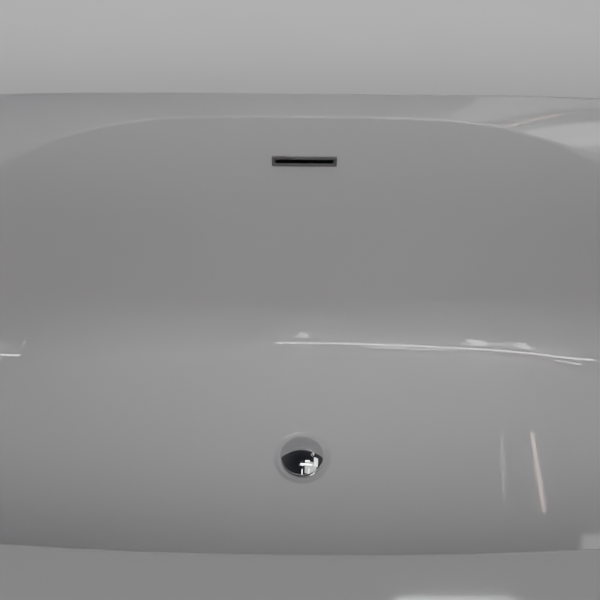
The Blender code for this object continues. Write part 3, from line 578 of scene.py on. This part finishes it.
back_top = seat_z - SHELL_T - 0.0043
back = [circle(0.0249, back_top - 0.0090, 96), hexagon(0.064, back_top - 0.0090, 96, limit=0.0350), hexagon(0.064, back_top - 0.0080, 96, limit=0.0362), hexagon(0.064, back_top - 0.0032, 96),
        hexagon(0.064, back_top - 0.0022, 96, limit=0.0358), circle(0.0345, back_top - 0.0014, 96), circle(0.0342, back_top - 0.0002, 96), circle(0.0338, back_top, 96),
        circle(0.0249, back_top, 96), circle(0.0243, back_top - 0.0006, 96), circle(0.0243, back_top - 0.0084, 96)]
lofted("drain_back_nut_moulded", back, "tub", "white_plastic", ["drain_backnut"], ring=True, sharp=28)
union = [circle(0.0285, 0.1260, 96), hexagon(0.0640, 0.1260, 96, limit=0.0350), hexagon(0.0640, 0.1270, 96, limit=0.0362), hexagon(0.0640, 0.1366, 96), hexagon(0.0640, 0.1378, 96, limit=0.0350),
         circle(0.0305, 0.1386, 96), circle(0.0250, 0.1395, 96), circle(0.0242, 0.1392, 96), circle(0.0242, 0.1364, 96), circle(0.0279, 0.1364, 96), circle(0.0279, 0.1264, 96)]
lofted("waste_union_nut_moulded", union, "tub", "white_plastic", ["waste_union_nut"], ring=True, sharp=28)
low_gasket = rounded([(0.0243, seat_z - SHELL_T - 0.0040), (0.0360, seat_z - SHELL_T - 0.0040), (0.0360, seat_z - SHELL_T - 0.0003), (0.0243, seat_z - SHELL_T - 0.0003)], 0.0009, 4)
turned("basin_sealing_ring", low_gasket, "tub", "rubber", ["drain_lower_gasket"], n=96)

TEE_OUT_Z = 0.1040
pot = [circle(r, z, 96) for r, z in rounded([(0.0228, 0.0820), (0.0275, 0.0850), (0.0275, 0.1360)], [0, 0.0016, 0], 4, closed=False)]
tee = lofted("waste_tee_moulded", pot, "tub", "black_plastic", ["waste_tee"], sharp=30)
combine(tee, [("UNION", rod_data((0, 0.010, IN_Z), (0, 0.0655, IN_Z), [(0, 0.0140), (0.72, 0.0140), (0.74, 0.0137), (0.97, 0.0137), (1, 0.0132)])),
              ("UNION", rod_data((-0.010, 0, TEE_OUT_Z), (-0.0750, 0, TEE_OUT_Z), [(0, 0.0200), (0.985, 0.0200), (1, 0.0196)], 64)),
              ("DIFFERENCE", loft_data([circle(0.0236, 0.0865, 96), circle(0.0242, 0.0878, 96), circle(0.0242, 0.1500, 96)])),
              ("DIFFERENCE", rod_data((0, 0.004, IN_Z), (0, 0.0800, IN_Z), [(0, 0.0110), (1, 0.0110)])),
              ("DIFFERENCE", rod_data((-0.004, 0, TEE_OUT_Z), (-0.0900, 0, TEE_OUT_Z), [(0, 0.0170), (1, 0.0170)], 64))])


# ------------------------------------------------------------------ board and frame
def square_tube(name, a, b, half, wall_t, node):
    """A drawn square tube with rounded corners, open at both ends, its cut edges broken."""
    a, b = np.array(a, float), np.array(b, float)
    w = (b - a) / np.linalg.norm(b - a)
    side_of = np.cross(w, [0.0, 0.0, 1.0])

    def section(at, h, r):
        pts = []
        for sx, sz, a0 in ((1, 1, 0), (-1, 1, 90), (-1, -1, 180), (1, -1, 270)):
            for k in range(6):
                t = math.radians(a0 + 90 * k / 5)
                pts.append(at + side_of * (sx * (h - r) + r * math.cos(t)) + np.array([0, 0, sz * (h - r) + r * math.sin(t)]))
        return np.array(pts)

    c = 0.0003
    inner = half - wall_t
    lofted(name, [section(a, half - c, 0.0027), section(a + w * c, half, 0.0030), section(b - w * c, half, 0.0030), section(b, half - c, 0.0027),
                  section(b, inner + c, 0.0013), section(b - w * c, inner, 0.0010), section(a + w * c, inner, 0.0010), section(a, inner + c, 0.0013)],
           "tub", "frame_paint", [node], ring=True, sharp=30)


square_tube("rail_tube_front", (-0.50, -0.130, rail_z), (0.50, -0.130, rail_z), 0.0125, 0.0020, "frame_rail_front")
square_tube("rail_tube_back", (-0.50, 0.130, rail_z), (0.50, 0.130, rail_z), 0.0125, 0.0020, "frame_rail_back")
for side_name, sx in (("left", -1), ("right", 1)):
    square_tube("cross_tube_" + side_name, (sx * FOOT_X, -0.182, cross_z), (sx * FOOT_X, 0.182, cross_z), 0.0125, 0.0020, "frame_crossmember_" + side_name)
    square_tube("tie_tube_" + side_name, (sx * 0.150, -0.148, cross_z), (sx * 0.150, 0.148, cross_z), 0.0125, 0.0020, "frame_tie_" + side_name)

board_top = FLOOR_Z - SHELL_T - 0.0005


def board_edge(hx, hy, z, n=512):
    t = 2 * np.pi * np.arange(n) / n
    corner_at = math.atan2(hy, hx)
    for q in (corner_at, math.pi - corner_at, math.pi + corner_at, 2 * math.pi - corner_at):
        t[int(round(q / (2 * math.pi) * n))] = q
    c, d = np.cos(t), np.sin(t)
    k = np.minimum(hx / np.maximum(np.abs(c), 1e-9), hy / np.maximum(np.abs(d), 1e-9))
    return np.column_stack([k * c, k * d, np.full(n, z)])


edge = 0.0012
board_rings = [board_edge(0.470 - edge, 0.165 - edge, board_low), board_edge(0.470, 0.165, board_low + edge), board_edge(0.470, 0.165, board_top - edge),
               board_edge(0.470 - edge, 0.165 - edge, board_top), circle(0.062 + edge, board_top, 512), circle(0.062, board_top - edge, 512), circle(0.062, board_low + edge, 512),
               circle(0.062 + edge, board_low, 512)]
lofted("floor_board_plywood", board_rings, "tub", "plywood", ["base_board"], ring=True, sharp=30)


# ------------------------------------------------------------------ brackets, straps, overflow housing, inner plug parts
def plate_outline(hx, hy, z, at, r=0.004):
    """A rounded plate's outline by angle, as many points as a nut's outline."""
    t = 2 * np.pi * np.arange(96) / 96
    c, d = np.cos(t), np.sin(t)
    k = np.minimum(hx / np.maximum(np.abs(c), 1e-9), hy / np.maximum(np.abs(d), 1e-9))
    x, y = k * c, k * d
    cx, cy = hx - r, hy - r
    near = (np.abs(x) > cx) & (np.abs(y) > cy)
    dot = np.abs(c) * cx + np.abs(d) * cy
    root = np.maximum(dot**2 - (cx**2 + cy**2) + r**2, 0.0)
    k = np.where(near, dot + np.sqrt(root), k)
    return np.column_stack([k * c + at[0], k * d + at[1], np.full(96, z)])


def plate_shifted(hx, hy, z, stud_at, shift, r=0.004):
    """The plate's outline, its middle shifted along Y from the stud, with points by angle seen from the stud."""
    ring = plate_outline(hx, hy, z, (stud_at[0], stud_at[1] + shift), r)
    seen = np.arctan2(ring[:, 1] - stud_at[1], ring[:, 0] - stud_at[0]) % (2 * np.pi)
    order = np.argsort(seen)
    ring, seen = ring[order], seen[order]
    want = 2 * np.pi * np.arange(96) / 96
    wrapped = np.concatenate([seen[-1:] - 2 * np.pi, seen, seen[:1] + 2 * np.pi])
    loop = np.vstack([ring[-1:], ring, ring[:1]])
    return np.column_stack([np.interp(want, wrapped, loop[:, k]) for k in range(3)])


for corner_name, (sx, sy) in CORNERS.items():
    at = (sx * FOOT_X, sy * FOOT_Y)
    shift = -sy * 0.0225
    bore = STUD_R + 0.0005
    low, top_of = plate_top - 0.005, plate_top
    rings = [plate_shifted(0.025 - 0.0004, 0.0425 - 0.0004, low, at, shift), plate_shifted(0.025, 0.0425, low + 0.0004, at, shift),
             plate_shifted(0.025, 0.0425, top_of - 0.0004, at, shift), plate_shifted(0.025 - 0.0004, 0.0425 - 0.0004, top_of, at, shift),
             hexagon(0.019, top_of, 96, at), hexagon(0.019, top_of + 0.0094, 96, at), hexagon(0.019, top_of + 0.010, 96, at, 0.0100),
             circle(bore + 0.0006, top_of + 0.010, 96, at), circle(bore, top_of + 0.0094, 96, at)]
    rings += [circle(bore, low + 0.0006, 96, at), circle(bore + 0.0006, low, 96, at)]
    lofted("foot_plate_with_weld_nut_" + corner_name, rings, "tub", "frame_paint", ["foot_bracket_" + corner_name], ring=True, sharp=30)

    # pressed strap: two bends, rounded edges
    run_of = [(0.4560, rail_z - 0.0125 - 0.0003), (0.5150, rail_z - 0.0125 - 0.0003), (0.6220, 0.0113 + 0.0030), (0.6550, 0.0113 + 0.0030)]
    under = [(x - (0.0024 if k in (1, 2) else 0.0), z - 0.0030) for k, (x, z) in enumerate(run_of)]
    upper = rounded([(x, 0.0, z) for x, z in run_of], [0, 0.004, 0.007, 0], 5, closed=False)
    lower = rounded([(x, 0.0, z) for x, z in under], [0, 0.007, 0.004, 0], 5, closed=False)
    bars = []
    for a0, b0 in zip(upper, lower):
        y = sy * 0.130
        e = 0.0006
        n0 = (b0 - a0) / np.linalg.norm(b0 - a0)
        sect = [(a0, -0.015 + e), (a0, 0.015 - e), (a0 + n0 * e, 0.015), (b0 - n0 * e, 0.015), (b0, 0.015 - e), (b0, -0.015 + e), (b0 - n0 * e, -0.015), (a0 + n0 * e, -0.015)]
        bars.append([(sx * q[0], y + w, q[2]) for q, w in sect])
    lofted("skirt_tie_strap_" + corner_name, bars, "tub", "frame_paint", ["skirt_strap_" + corner_name], sharp=30)

cut_corners = [slot_ring(0.110, 0.026, 0.004, -0.0071), slot_ring(0.1094, 0.0254, 0.0037, -0.0068), slot_ring(0.0968, 0.0144, 0.0027, -0.0068), slot_ring(0.0962, 0.0138, 0.0024, -0.0071),
               slot_ring(0.0962, 0.0138, 0.0024, -0.0089), slot_ring(0.0968, 0.0144, 0.0027, -0.0092), slot_ring(0.1094, 0.0254, 0.0037, -0.0092), slot_ring(0.110, 0.026, 0.004, -0.0089)]
lofted("overflow_sealing_ring", cut_corners, "tub", "rubber", ["overflow_gasket"], ring=True, sharp=30)


def wall_block(low, high, r):
    """A block in the wall's frame, its edges rounded."""
    c, h = [(a + b) / 2 for a, b in zip(low, high)], [(b - a) / 2 for a, b in zip(low, high)]
    rings = []
    for n_out, inset in ((low[2], r), (low[2] + r * 0.3, r * 0.3), (low[2] + r, 0.0), (high[2] - r, 0.0), (high[2] - r * 0.3, r * 0.3), (high[2], r)):
        pts = []
        for sx, sy, a0 in ((1, 1, 0), (-1, 1, 90), (-1, -1, 180), (1, -1, 270)):
            for k in range(6):
                t = math.radians(a0 + 90 * k / 5)
                pts.append((c[0] + sx * (h[0] - 0.003) + (0.003 - inset) * math.cos(t), c[1] + sy * (h[1] - 0.003) + (0.003 - inset) * math.sin(t), n_out))
        rings.append(np.array([tuple(wall @ Vector(q)) for q in pts]))
    return loft_data(rings)


v, f = wall_block((-0.057, -0.044, -0.044), (0.057, 0.015, -0.0096), 0.0015)
housing = add("overflow_housing_moulded", v, f, "tub", "white_plastic", ["overflow_box"])
combine(housing, [("UNION", rod_data((0, spigot_y, 0.495), (0, spigot_y, SPIGOT_Z), [(0, 0.0140), (0.90, 0.0140), (1, 0.0134)])),
                  ("DIFFERENCE", wall_block((-0.0545, -0.0415, -0.0415), (0.0545, 0.0125, -0.0121), 0.0010)),
                  ("DIFFERENCE", wall_block((-0.0485, -0.0072, -0.0200), (0.0485, 0.0072, 0.0010), 0.0008)),
                  ("DIFFERENCE", rod_data((0, spigot_y, 0.4870), (0, spigot_y, 0.437), [(0, 0.0110), (1, 0.0110)]))])

turned("plug_stem_turned", [(0.0052, 0.1262), (0.0056, 0.1266), (0.0056, 0.1296), (0.0052, 0.1300), (0.0042, 0.1306), (0.0038, 0.1312), (0.0038, 0.1556), (0.0040, 0.1560), (0.0058, 0.1572),
                            (0.0062, 0.1574), (0.0062, 0.1590), (0.0058, 0.1594), (0.0040, 0.1602), (0.0038, 0.1606), (0.0038, plug_seal_top)],
       "plug", "brass", ["plug_stem"], n=64, ring=False, sharp=28)
turned("latch_cartridge_moulded", rounded([(0.0095, 0.1080), (0.0095, 0.1500), (0.0088, 0.1510), (0.0042, 0.1510), (0.0042, 0.1480), (0.0062, 0.1468), (0.0062, 0.1100), (0.0020, 0.1100), (0.0020, 0.1080)],
                                          [0.0005, 0.0003, 0.0002, 0.0002, 0.0002, 0.0003, 0.0003, 0.0001, 0.0002], 3), "tub", "white_plastic", ["latch_cartridge"], n=64, sharp=30)


# coil spring with a closed coil at each end, between cartridge and stem
turn_steps, wire_r, coil_r = 48, 0.0006, 0.0050
low_z, high_z = 0.1109, 0.1253
dead, active = 0.00128, 4.0
live_pitch = (high_z - low_z - 2 * dead) / active
heights, angles = [low_z], [0.0]
for k in range(int((active + 2) * turn_steps)):
    turn = (k + 0.5) / turn_steps
    rate = dead if turn < 1 or turn > active + 1 else live_pitch
    heights.append(heights[-1] + rate / turn_steps)
    angles.append(2 * math.pi * (k + 1) / turn_steps)
heights = np.array(heights)
pad_h = np.concatenate([np.full(9, heights[0]), heights, np.full(9, heights[-1])])
heights = np.clip(np.convolve(pad_h, np.ones(19) / 19, "valid"), low_z, high_z)
round_a = 2 * np.pi * np.arange(14) / 14
wire = []
for k, (z, a0) in enumerate(zip(heights, angles)):
    rise = (heights[min(k + 1, len(heights) - 1)] - heights[max(k - 1, 0)]) / (2 * 2 * math.pi * coil_r / turn_steps)
    tilt = math.atan(rise)
    out = np.array([math.cos(a0), math.sin(a0), 0.0])
    along_v = np.array([-math.sin(a0) * math.cos(tilt), math.cos(a0) * math.cos(tilt), math.sin(tilt)])
    up_v = np.cross(out, along_v)
    r_here = wire_r * (0.72 if k in (0, len(heights) - 1) else 0.97 if k in (1, len(heights) - 2) else 1.0)
    wire.append(coil_r * out + np.array([0, 0, z]) + r_here * (np.outer(np.cos(round_a), out) + np.outer(np.sin(round_a), up_v)))
spring = lofted("plug_coil_spring", wire, None, "zinc_steel", sharp=50)
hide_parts("plug_spring")
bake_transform(spring)
made.append((spring, "zinc_steel"))


# ------------------------------------------------------------------ camera, floor and light
camera_data = bpy.data.cameras.new("camera")
camera_data.lens, camera_data.sensor_width = 36.0, 36.0
camera_data.clip_start = 0.02
camera = bpy.data.objects.new("camera", camera_data)
bpy.context.scene.collection.objects.link(camera)
pitch, roll_deg = math.radians(45.24), math.radians(0.42)
camera.location = (-0.0051, -0.4925, 1.0153)
camera.rotation_euler = (Matrix.Rotation(math.pi / 2 - pitch, 4, "X") @ Matrix.Rotation(roll_deg, 4, "Z")).to_euler()
bpy.context.scene.camera = camera

floor_mesh = bpy.data.meshes.new("floor")
floor_mesh.from_pydata([(-9, -9, 0), (9, -9, 0), (9, 9, 0), (-9, 9, 0)], [], [(0, 1, 2, 3)])
floor = bpy.data.objects.new("floor", floor_mesh)
bpy.context.scene.collection.objects.link(floor)
floor.location.z = -0.0005


def area(name, at, look, size, size_y, watts, colour=(1, 1, 1)):
    data = bpy.data.lights.new(name, "AREA")
    data.shape, data.size, data.size_y, data.energy, data.color = "RECTANGLE", size, size_y, watts, colour
    ob = bpy.data.objects.new(name, data)
    bpy.context.scene.collection.objects.link(ob)
    ob.location = at
    ob.rotation_euler = (Vector(look) - Vector(at)).to_track_quat("-Z", "Y").to_euler()
    ob.visible_camera = False
    return ob


world = bpy.data.worlds.new("studio")
bpy.context.scene.world = world
world.use_nodes = True
wt = world.node_tree
sky = wt.nodes["Background"]
where = wt.nodes.new("ShaderNodeTexCoord")
parts_of = wt.nodes.new("ShaderNodeSeparateXYZ")
fade = wt.nodes.new("ShaderNodeValToRGB")
wt.links.new(where.outputs["Generated"], parts_of.inputs["Vector"])
wt.links.new(parts_of.outputs["Z"], fade.inputs["Fac"])
wt.links.new(fade.outputs["Color"], sky.inputs["Color"])
fade.color_ramp.elements[0].position, fade.color_ramp.elements[0].color = 0.0, (0.52, 0.52, 0.53, 1)
fade.color_ramp.elements[1].position, fade.color_ramp.elements[1].color = 1.0, (0.012, 0.013, 0.018, 1)
for at, tone in ((0.10, 0.50), (0.25, 0.26), (0.42, 0.12), (0.60, 0.05)):
    band = fade.color_ramp.elements.new(at)
    band.color = (tone, tone, tone * 1.03, 1)
sky.inputs["Strength"].default_value = 1.15
key = area("key_softbox", (-0.1, -1.25, 2.55), (0.0, 0.05, 0.2), 2.4, 0.9, 13.0)
key.visible_glossy = False
top = area("overhead_grid", (0.08, 0.23, 2.3), (0.08, 0.23, 0), 1.0, 0.10, 0.34)
top.data.spread = math.radians(30)
top.visible_glossy = False


# the floor round the tub is lit on its own, so the basin keeps its soft shade
for wash, at, wide, deep in (("left", (-5.2, 0.0), 6.6, 16.0), ("right", (5.2, 0.0), 6.6, 16.0), ("front", (0.0, -4.9), 3.6, 6.8), ("back", (0.0, 4.9), 3.6, 6.8)):
    lamp = area("floor_wash_" + wash, (*at, 2.8), (*at, 0.0), wide, deep, 1.9 * wide * deep)
    lamp.data.spread = math.radians(50)
    lamp.visible_glossy = False


def mirrored(name, at, look, size, size_y, radiance, colour=(1, 1, 1), along=None):
    """A lamp or window that only the gloss and the chrome show. along is the way its long side runs."""
    lamp = area(name, at, look, size, size_y, radiance * math.pi * size * size_y, colour)
    lamp.visible_diffuse = False
    if along is not None:
        back = (Vector(at) - Vector(look)).normalized()
        run = Vector(along).normalized()
        wide = run.cross(back).normalized()
        back = wide.cross(run)
        lamp.rotation_euler = Matrix((wide, run, back)).transposed().to_euler()
    return lamp


mirrored("ceiling_tube_a", (0.52, -0.10, 2.6), (0.52, -0.10, 0), 1.30, 0.075, 34)
mirrored("ceiling_tube_b", (0.02, -1.15, 2.6), (0.02, -1.15, 0), 0.035, 0.9, 12)
mirrored("ceiling_tube_c", (0.60, 0.30, 2.6), (0.60, 0.30, 0), 0.45, 0.035, 34)
mirrored("ceiling_tube_d", (0.84, -0.95, 2.6), (0.84, -0.95, 0), 0.04, 0.8, 12)
mirrored("window_right", (1.35, 2.3, 2.05), (0.3, 0.2, 0.5), 1.0, 0.9, 0.8)
mirrored("roof_light_right", (1.80, 0.40, 2.6), (1.80, 0.40, 0), 0.60, 1.15, 2.8)
mirrored("softbox_right", (1.15, -0.45, 2.65), (1.15, -0.45, 0.0), 1.6, 1.4, 0.9)
mirrored("window_left", (-1.9, 2.3, 2.3), (-0.3, 0.2, 0.5), 1.0, 0.9, 0.4, (0.72, 0.84, 1.0))
mirrored("upright_tube", (1.35, 1.33, 2.52), (0.35, 0.02, 0.17), 0.014, 1.14, 13, (1.0, 0.76, 0.64), along=(0.38, 0.0, 1.09))
mirrored("upright_tube_b", (1.14, 1.33, 2.45), (0.35, 0.02, 0.17), 0.010, 1.0, 4, (0.9, 0.95, 1.0), along=(0.27, 0.0, 1.09))


# ------------------------------------------------------------------ materials
def principled(name, colour, roughness, metallic=0.0):
    m = bpy.data.materials.new(name)
    m.use_nodes = True
    b = m.node_tree.nodes["Principled BSDF"]
    b.inputs["Base Color"].default_value = (*colour, 1)
    b.inputs["Roughness"].default_value = roughness
    b.inputs["Metallic"].default_value = metallic
    return m, m.node_tree, b


def noise(tree, scale, detail=3.0, rough=0.5, stretch=None, distortion=0.0):
    co = tree.nodes.new("ShaderNodeTexCoord")
    n = tree.nodes.new("ShaderNodeTexNoise")
    n.inputs["Scale"].default_value, n.inputs["Detail"].default_value = scale, detail
    n.inputs["Roughness"].default_value, n.inputs["Distortion"].default_value = rough, distortion
    if stretch:
        mp = tree.nodes.new("ShaderNodeMapping")
        mp.inputs["Scale"].default_value = stretch
        tree.links.new(co.outputs["Object"], mp.inputs["Vector"])
        tree.links.new(mp.outputs["Vector"], n.inputs["Vector"])
    else:
        tree.links.new(co.outputs["Object"], n.inputs["Vector"])
    return n


def ranged(tree, source, low, high, a=0.35, b=0.65):
    r = tree.nodes.new("ShaderNodeMapRange")
    r.inputs["From Min"].default_value, r.inputs["From Max"].default_value = a, b
    r.inputs["To Min"].default_value, r.inputs["To Max"].default_value = low, high
    tree.links.new(source, r.inputs["Value"])
    return r.outputs["Result"]


def tinted(tree, source, low, high, a=0.3, b=0.7):
    ramp = tree.nodes.new("ShaderNodeValToRGB")
    ramp.color_ramp.elements[0].position, ramp.color_ramp.elements[1].position = a, b
    ramp.color_ramp.elements[0].color, ramp.color_ramp.elements[1].color = (*low, 1), (*high, 1)
    tree.links.new(source, ramp.inputs["Fac"])
    return ramp.outputs["Color"]


def bumped(tree, b, source, strength, distance, previous=None):
    n = tree.nodes.new("ShaderNodeBump")
    n.inputs["Strength"].default_value, n.inputs["Distance"].default_value = strength, distance
    tree.links.new(source, n.inputs["Height"])
    if previous is not None:
        tree.links.new(previous, n.inputs["Normal"])
    tree.links.new(n.outputs["Normal"], b.inputs["Normal"])
    return n.outputs["Normal"]


def acrylic():
    m, t, b = principled("gloss_white_acrylic", (0.8, 0.8, 0.79), 0.1)
    cloud = noise(t, 2.2, 3)
    t.links.new(tinted(t, cloud.outputs["Fac"], (0.866, 0.852, 0.855), (0.888, 0.874, 0.877)), b.inputs["Base Color"])
    rub = noise(t, 9.0, 6, 0.65, (0.4, 1.3, 1.0), 0.4)
    t.links.new(ranged(t, rub.outputs["Fac"], 0.028, 0.06), b.inputs["Roughness"])
    wave = noise(t, 3.2, 1.5, 0.4)
    first = bumped(t, b, wave.outputs["Fac"], 0.10, 0.003)
    peel = noise(t, 420.0, 2, 0.5)
    bumped(t, b, peel.outputs["Fac"], 0.02, 0.0002, first)
    b.inputs["IOR"].default_value = 1.49
    b.inputs["Coat Weight"].default_value = 0.3
    b.inputs["Coat Roughness"].default_value = 0.03
    b.inputs["Coat IOR"].default_value = 1.5
    return m


def metal(name, colour, low, high, scratch=0.08, scale=60.0, stretch=(1, 1, 1)):
    m, t, b = principled(name, colour, low, 1.0)
    smear = noise(t, scale, 5, 0.6, stretch, 0.3)
    t.links.new(ranged(t, smear.outputs["Fac"], low, high), b.inputs["Roughness"])
    dark = tuple(c * 0.93 for c in colour)
    cloud = noise(t, scale * 0.4, 3)
    t.links.new(tinted(t, cloud.outputs["Fac"], dark, colour), b.inputs["Base Color"])
    hair = noise(t, scale * 12, 3, 0.7, (stretch[0] * 0.15, stretch[1] * 2.0, stretch[2]))
    bumped(t, b, hair.outputs["Fac"], scratch, 0.0001)
    return m


def plastic(name, colour, low, high, grain=900.0, depth=0.10):
    m, t, b = principled(name, colour, low)
    cloud = noise(t, 14.0, 3)
    t.links.new(tinted(t, cloud.outputs["Fac"], tuple(c * 0.9 for c in colour), colour), b.inputs["Base Color"])
    t.links.new(ranged(t, noise(t, 40.0, 4).outputs["Fac"], low, high), b.inputs["Roughness"])
    bumped(t, b, noise(t, grain, 2).outputs["Fac"], depth, 0.0002)
    return m


def wood():
    m, t, b = principled("birch_plywood", (0.62, 0.47, 0.30), 0.62)
    grain = noise(t, 6.0, 8, 0.6, (1.0, 22.0, 120.0), 1.2)
    t.links.new(tinted(t, grain.outputs["Fac"], (0.42, 0.29, 0.16), (0.68, 0.53, 0.35), 0.3, 0.68), b.inputs["Base Color"])
    t.links.new(ranged(t, grain.outputs["Fac"], 0.72, 0.5), b.inputs["Roughness"])
    bumped(t, b, grain.outputs["Fac"], 0.3, 0.0004)
    return m


looks = {
    "acrylic": acrylic(),
    "sealant": plastic("white_silicone", (0.74, 0.74, 0.72), 0.35, 0.5, 200.0, 0.15),
    "chrome": metal("polished_chrome", (0.80, 0.80, 0.81), 0.035, 0.09, 0.03),
    "chrome_body": metal("chrome_plated_brass", (0.72, 0.72, 0.73), 0.07, 0.16, 0.05),
    "dark_chrome": metal("satin_dark_chrome", (0.41, 0.395, 0.40), 0.30, 0.42, 0.10),
    "brass": metal("machined_brass", (0.72, 0.53, 0.27), 0.2, 0.38, 0.2, 90.0, (1, 1, 6)),
    "zinc_steel": metal("zinc_plated_steel", (0.62, 0.62, 0.60), 0.28, 0.5, 0.15, 120.0),
    "frame_paint": plastic("grey_frame_coating", (0.30, 0.31, 0.32), 0.45, 0.6, 350.0, 0.25),
    "plywood": wood(),
    "rubber": plastic("black_rubber", (0.03, 0.03, 0.03), 0.7, 0.85, 500.0, 0.2),
    "white_plastic": plastic("white_polypropylene", (0.72, 0.72, 0.70), 0.35, 0.5),
    "hose_plastic": plastic("hose_plastic", (0.70, 0.70, 0.68), 0.4, 0.55),
    "black_plastic": plastic("black_polypropylene", (0.05, 0.05, 0.05), 0.4, 0.55),
}
slot_of = {s["node"]: s["material_slot"] for s in frame["record"]["subparts"]}
for name, ob in nodes.items():
    ob.data.materials.clear()
    ob.data.materials.append(looks[slot_of[name]])
for ob, slot_name in made:
    ob.data.materials.clear()
    ob.data.materials.append(looks[slot_name])

fm, ft, fb = principled("pale_floor", (0.86, 0.86, 0.86), 0.6)
ft.links.new(tinted(ft, noise(ft, 1.4, 5).outputs["Fac"], (0.84, 0.84, 0.84), (0.88, 0.88, 0.88)), fb.inputs["Base Color"])
floor_mesh.materials.append(fm)
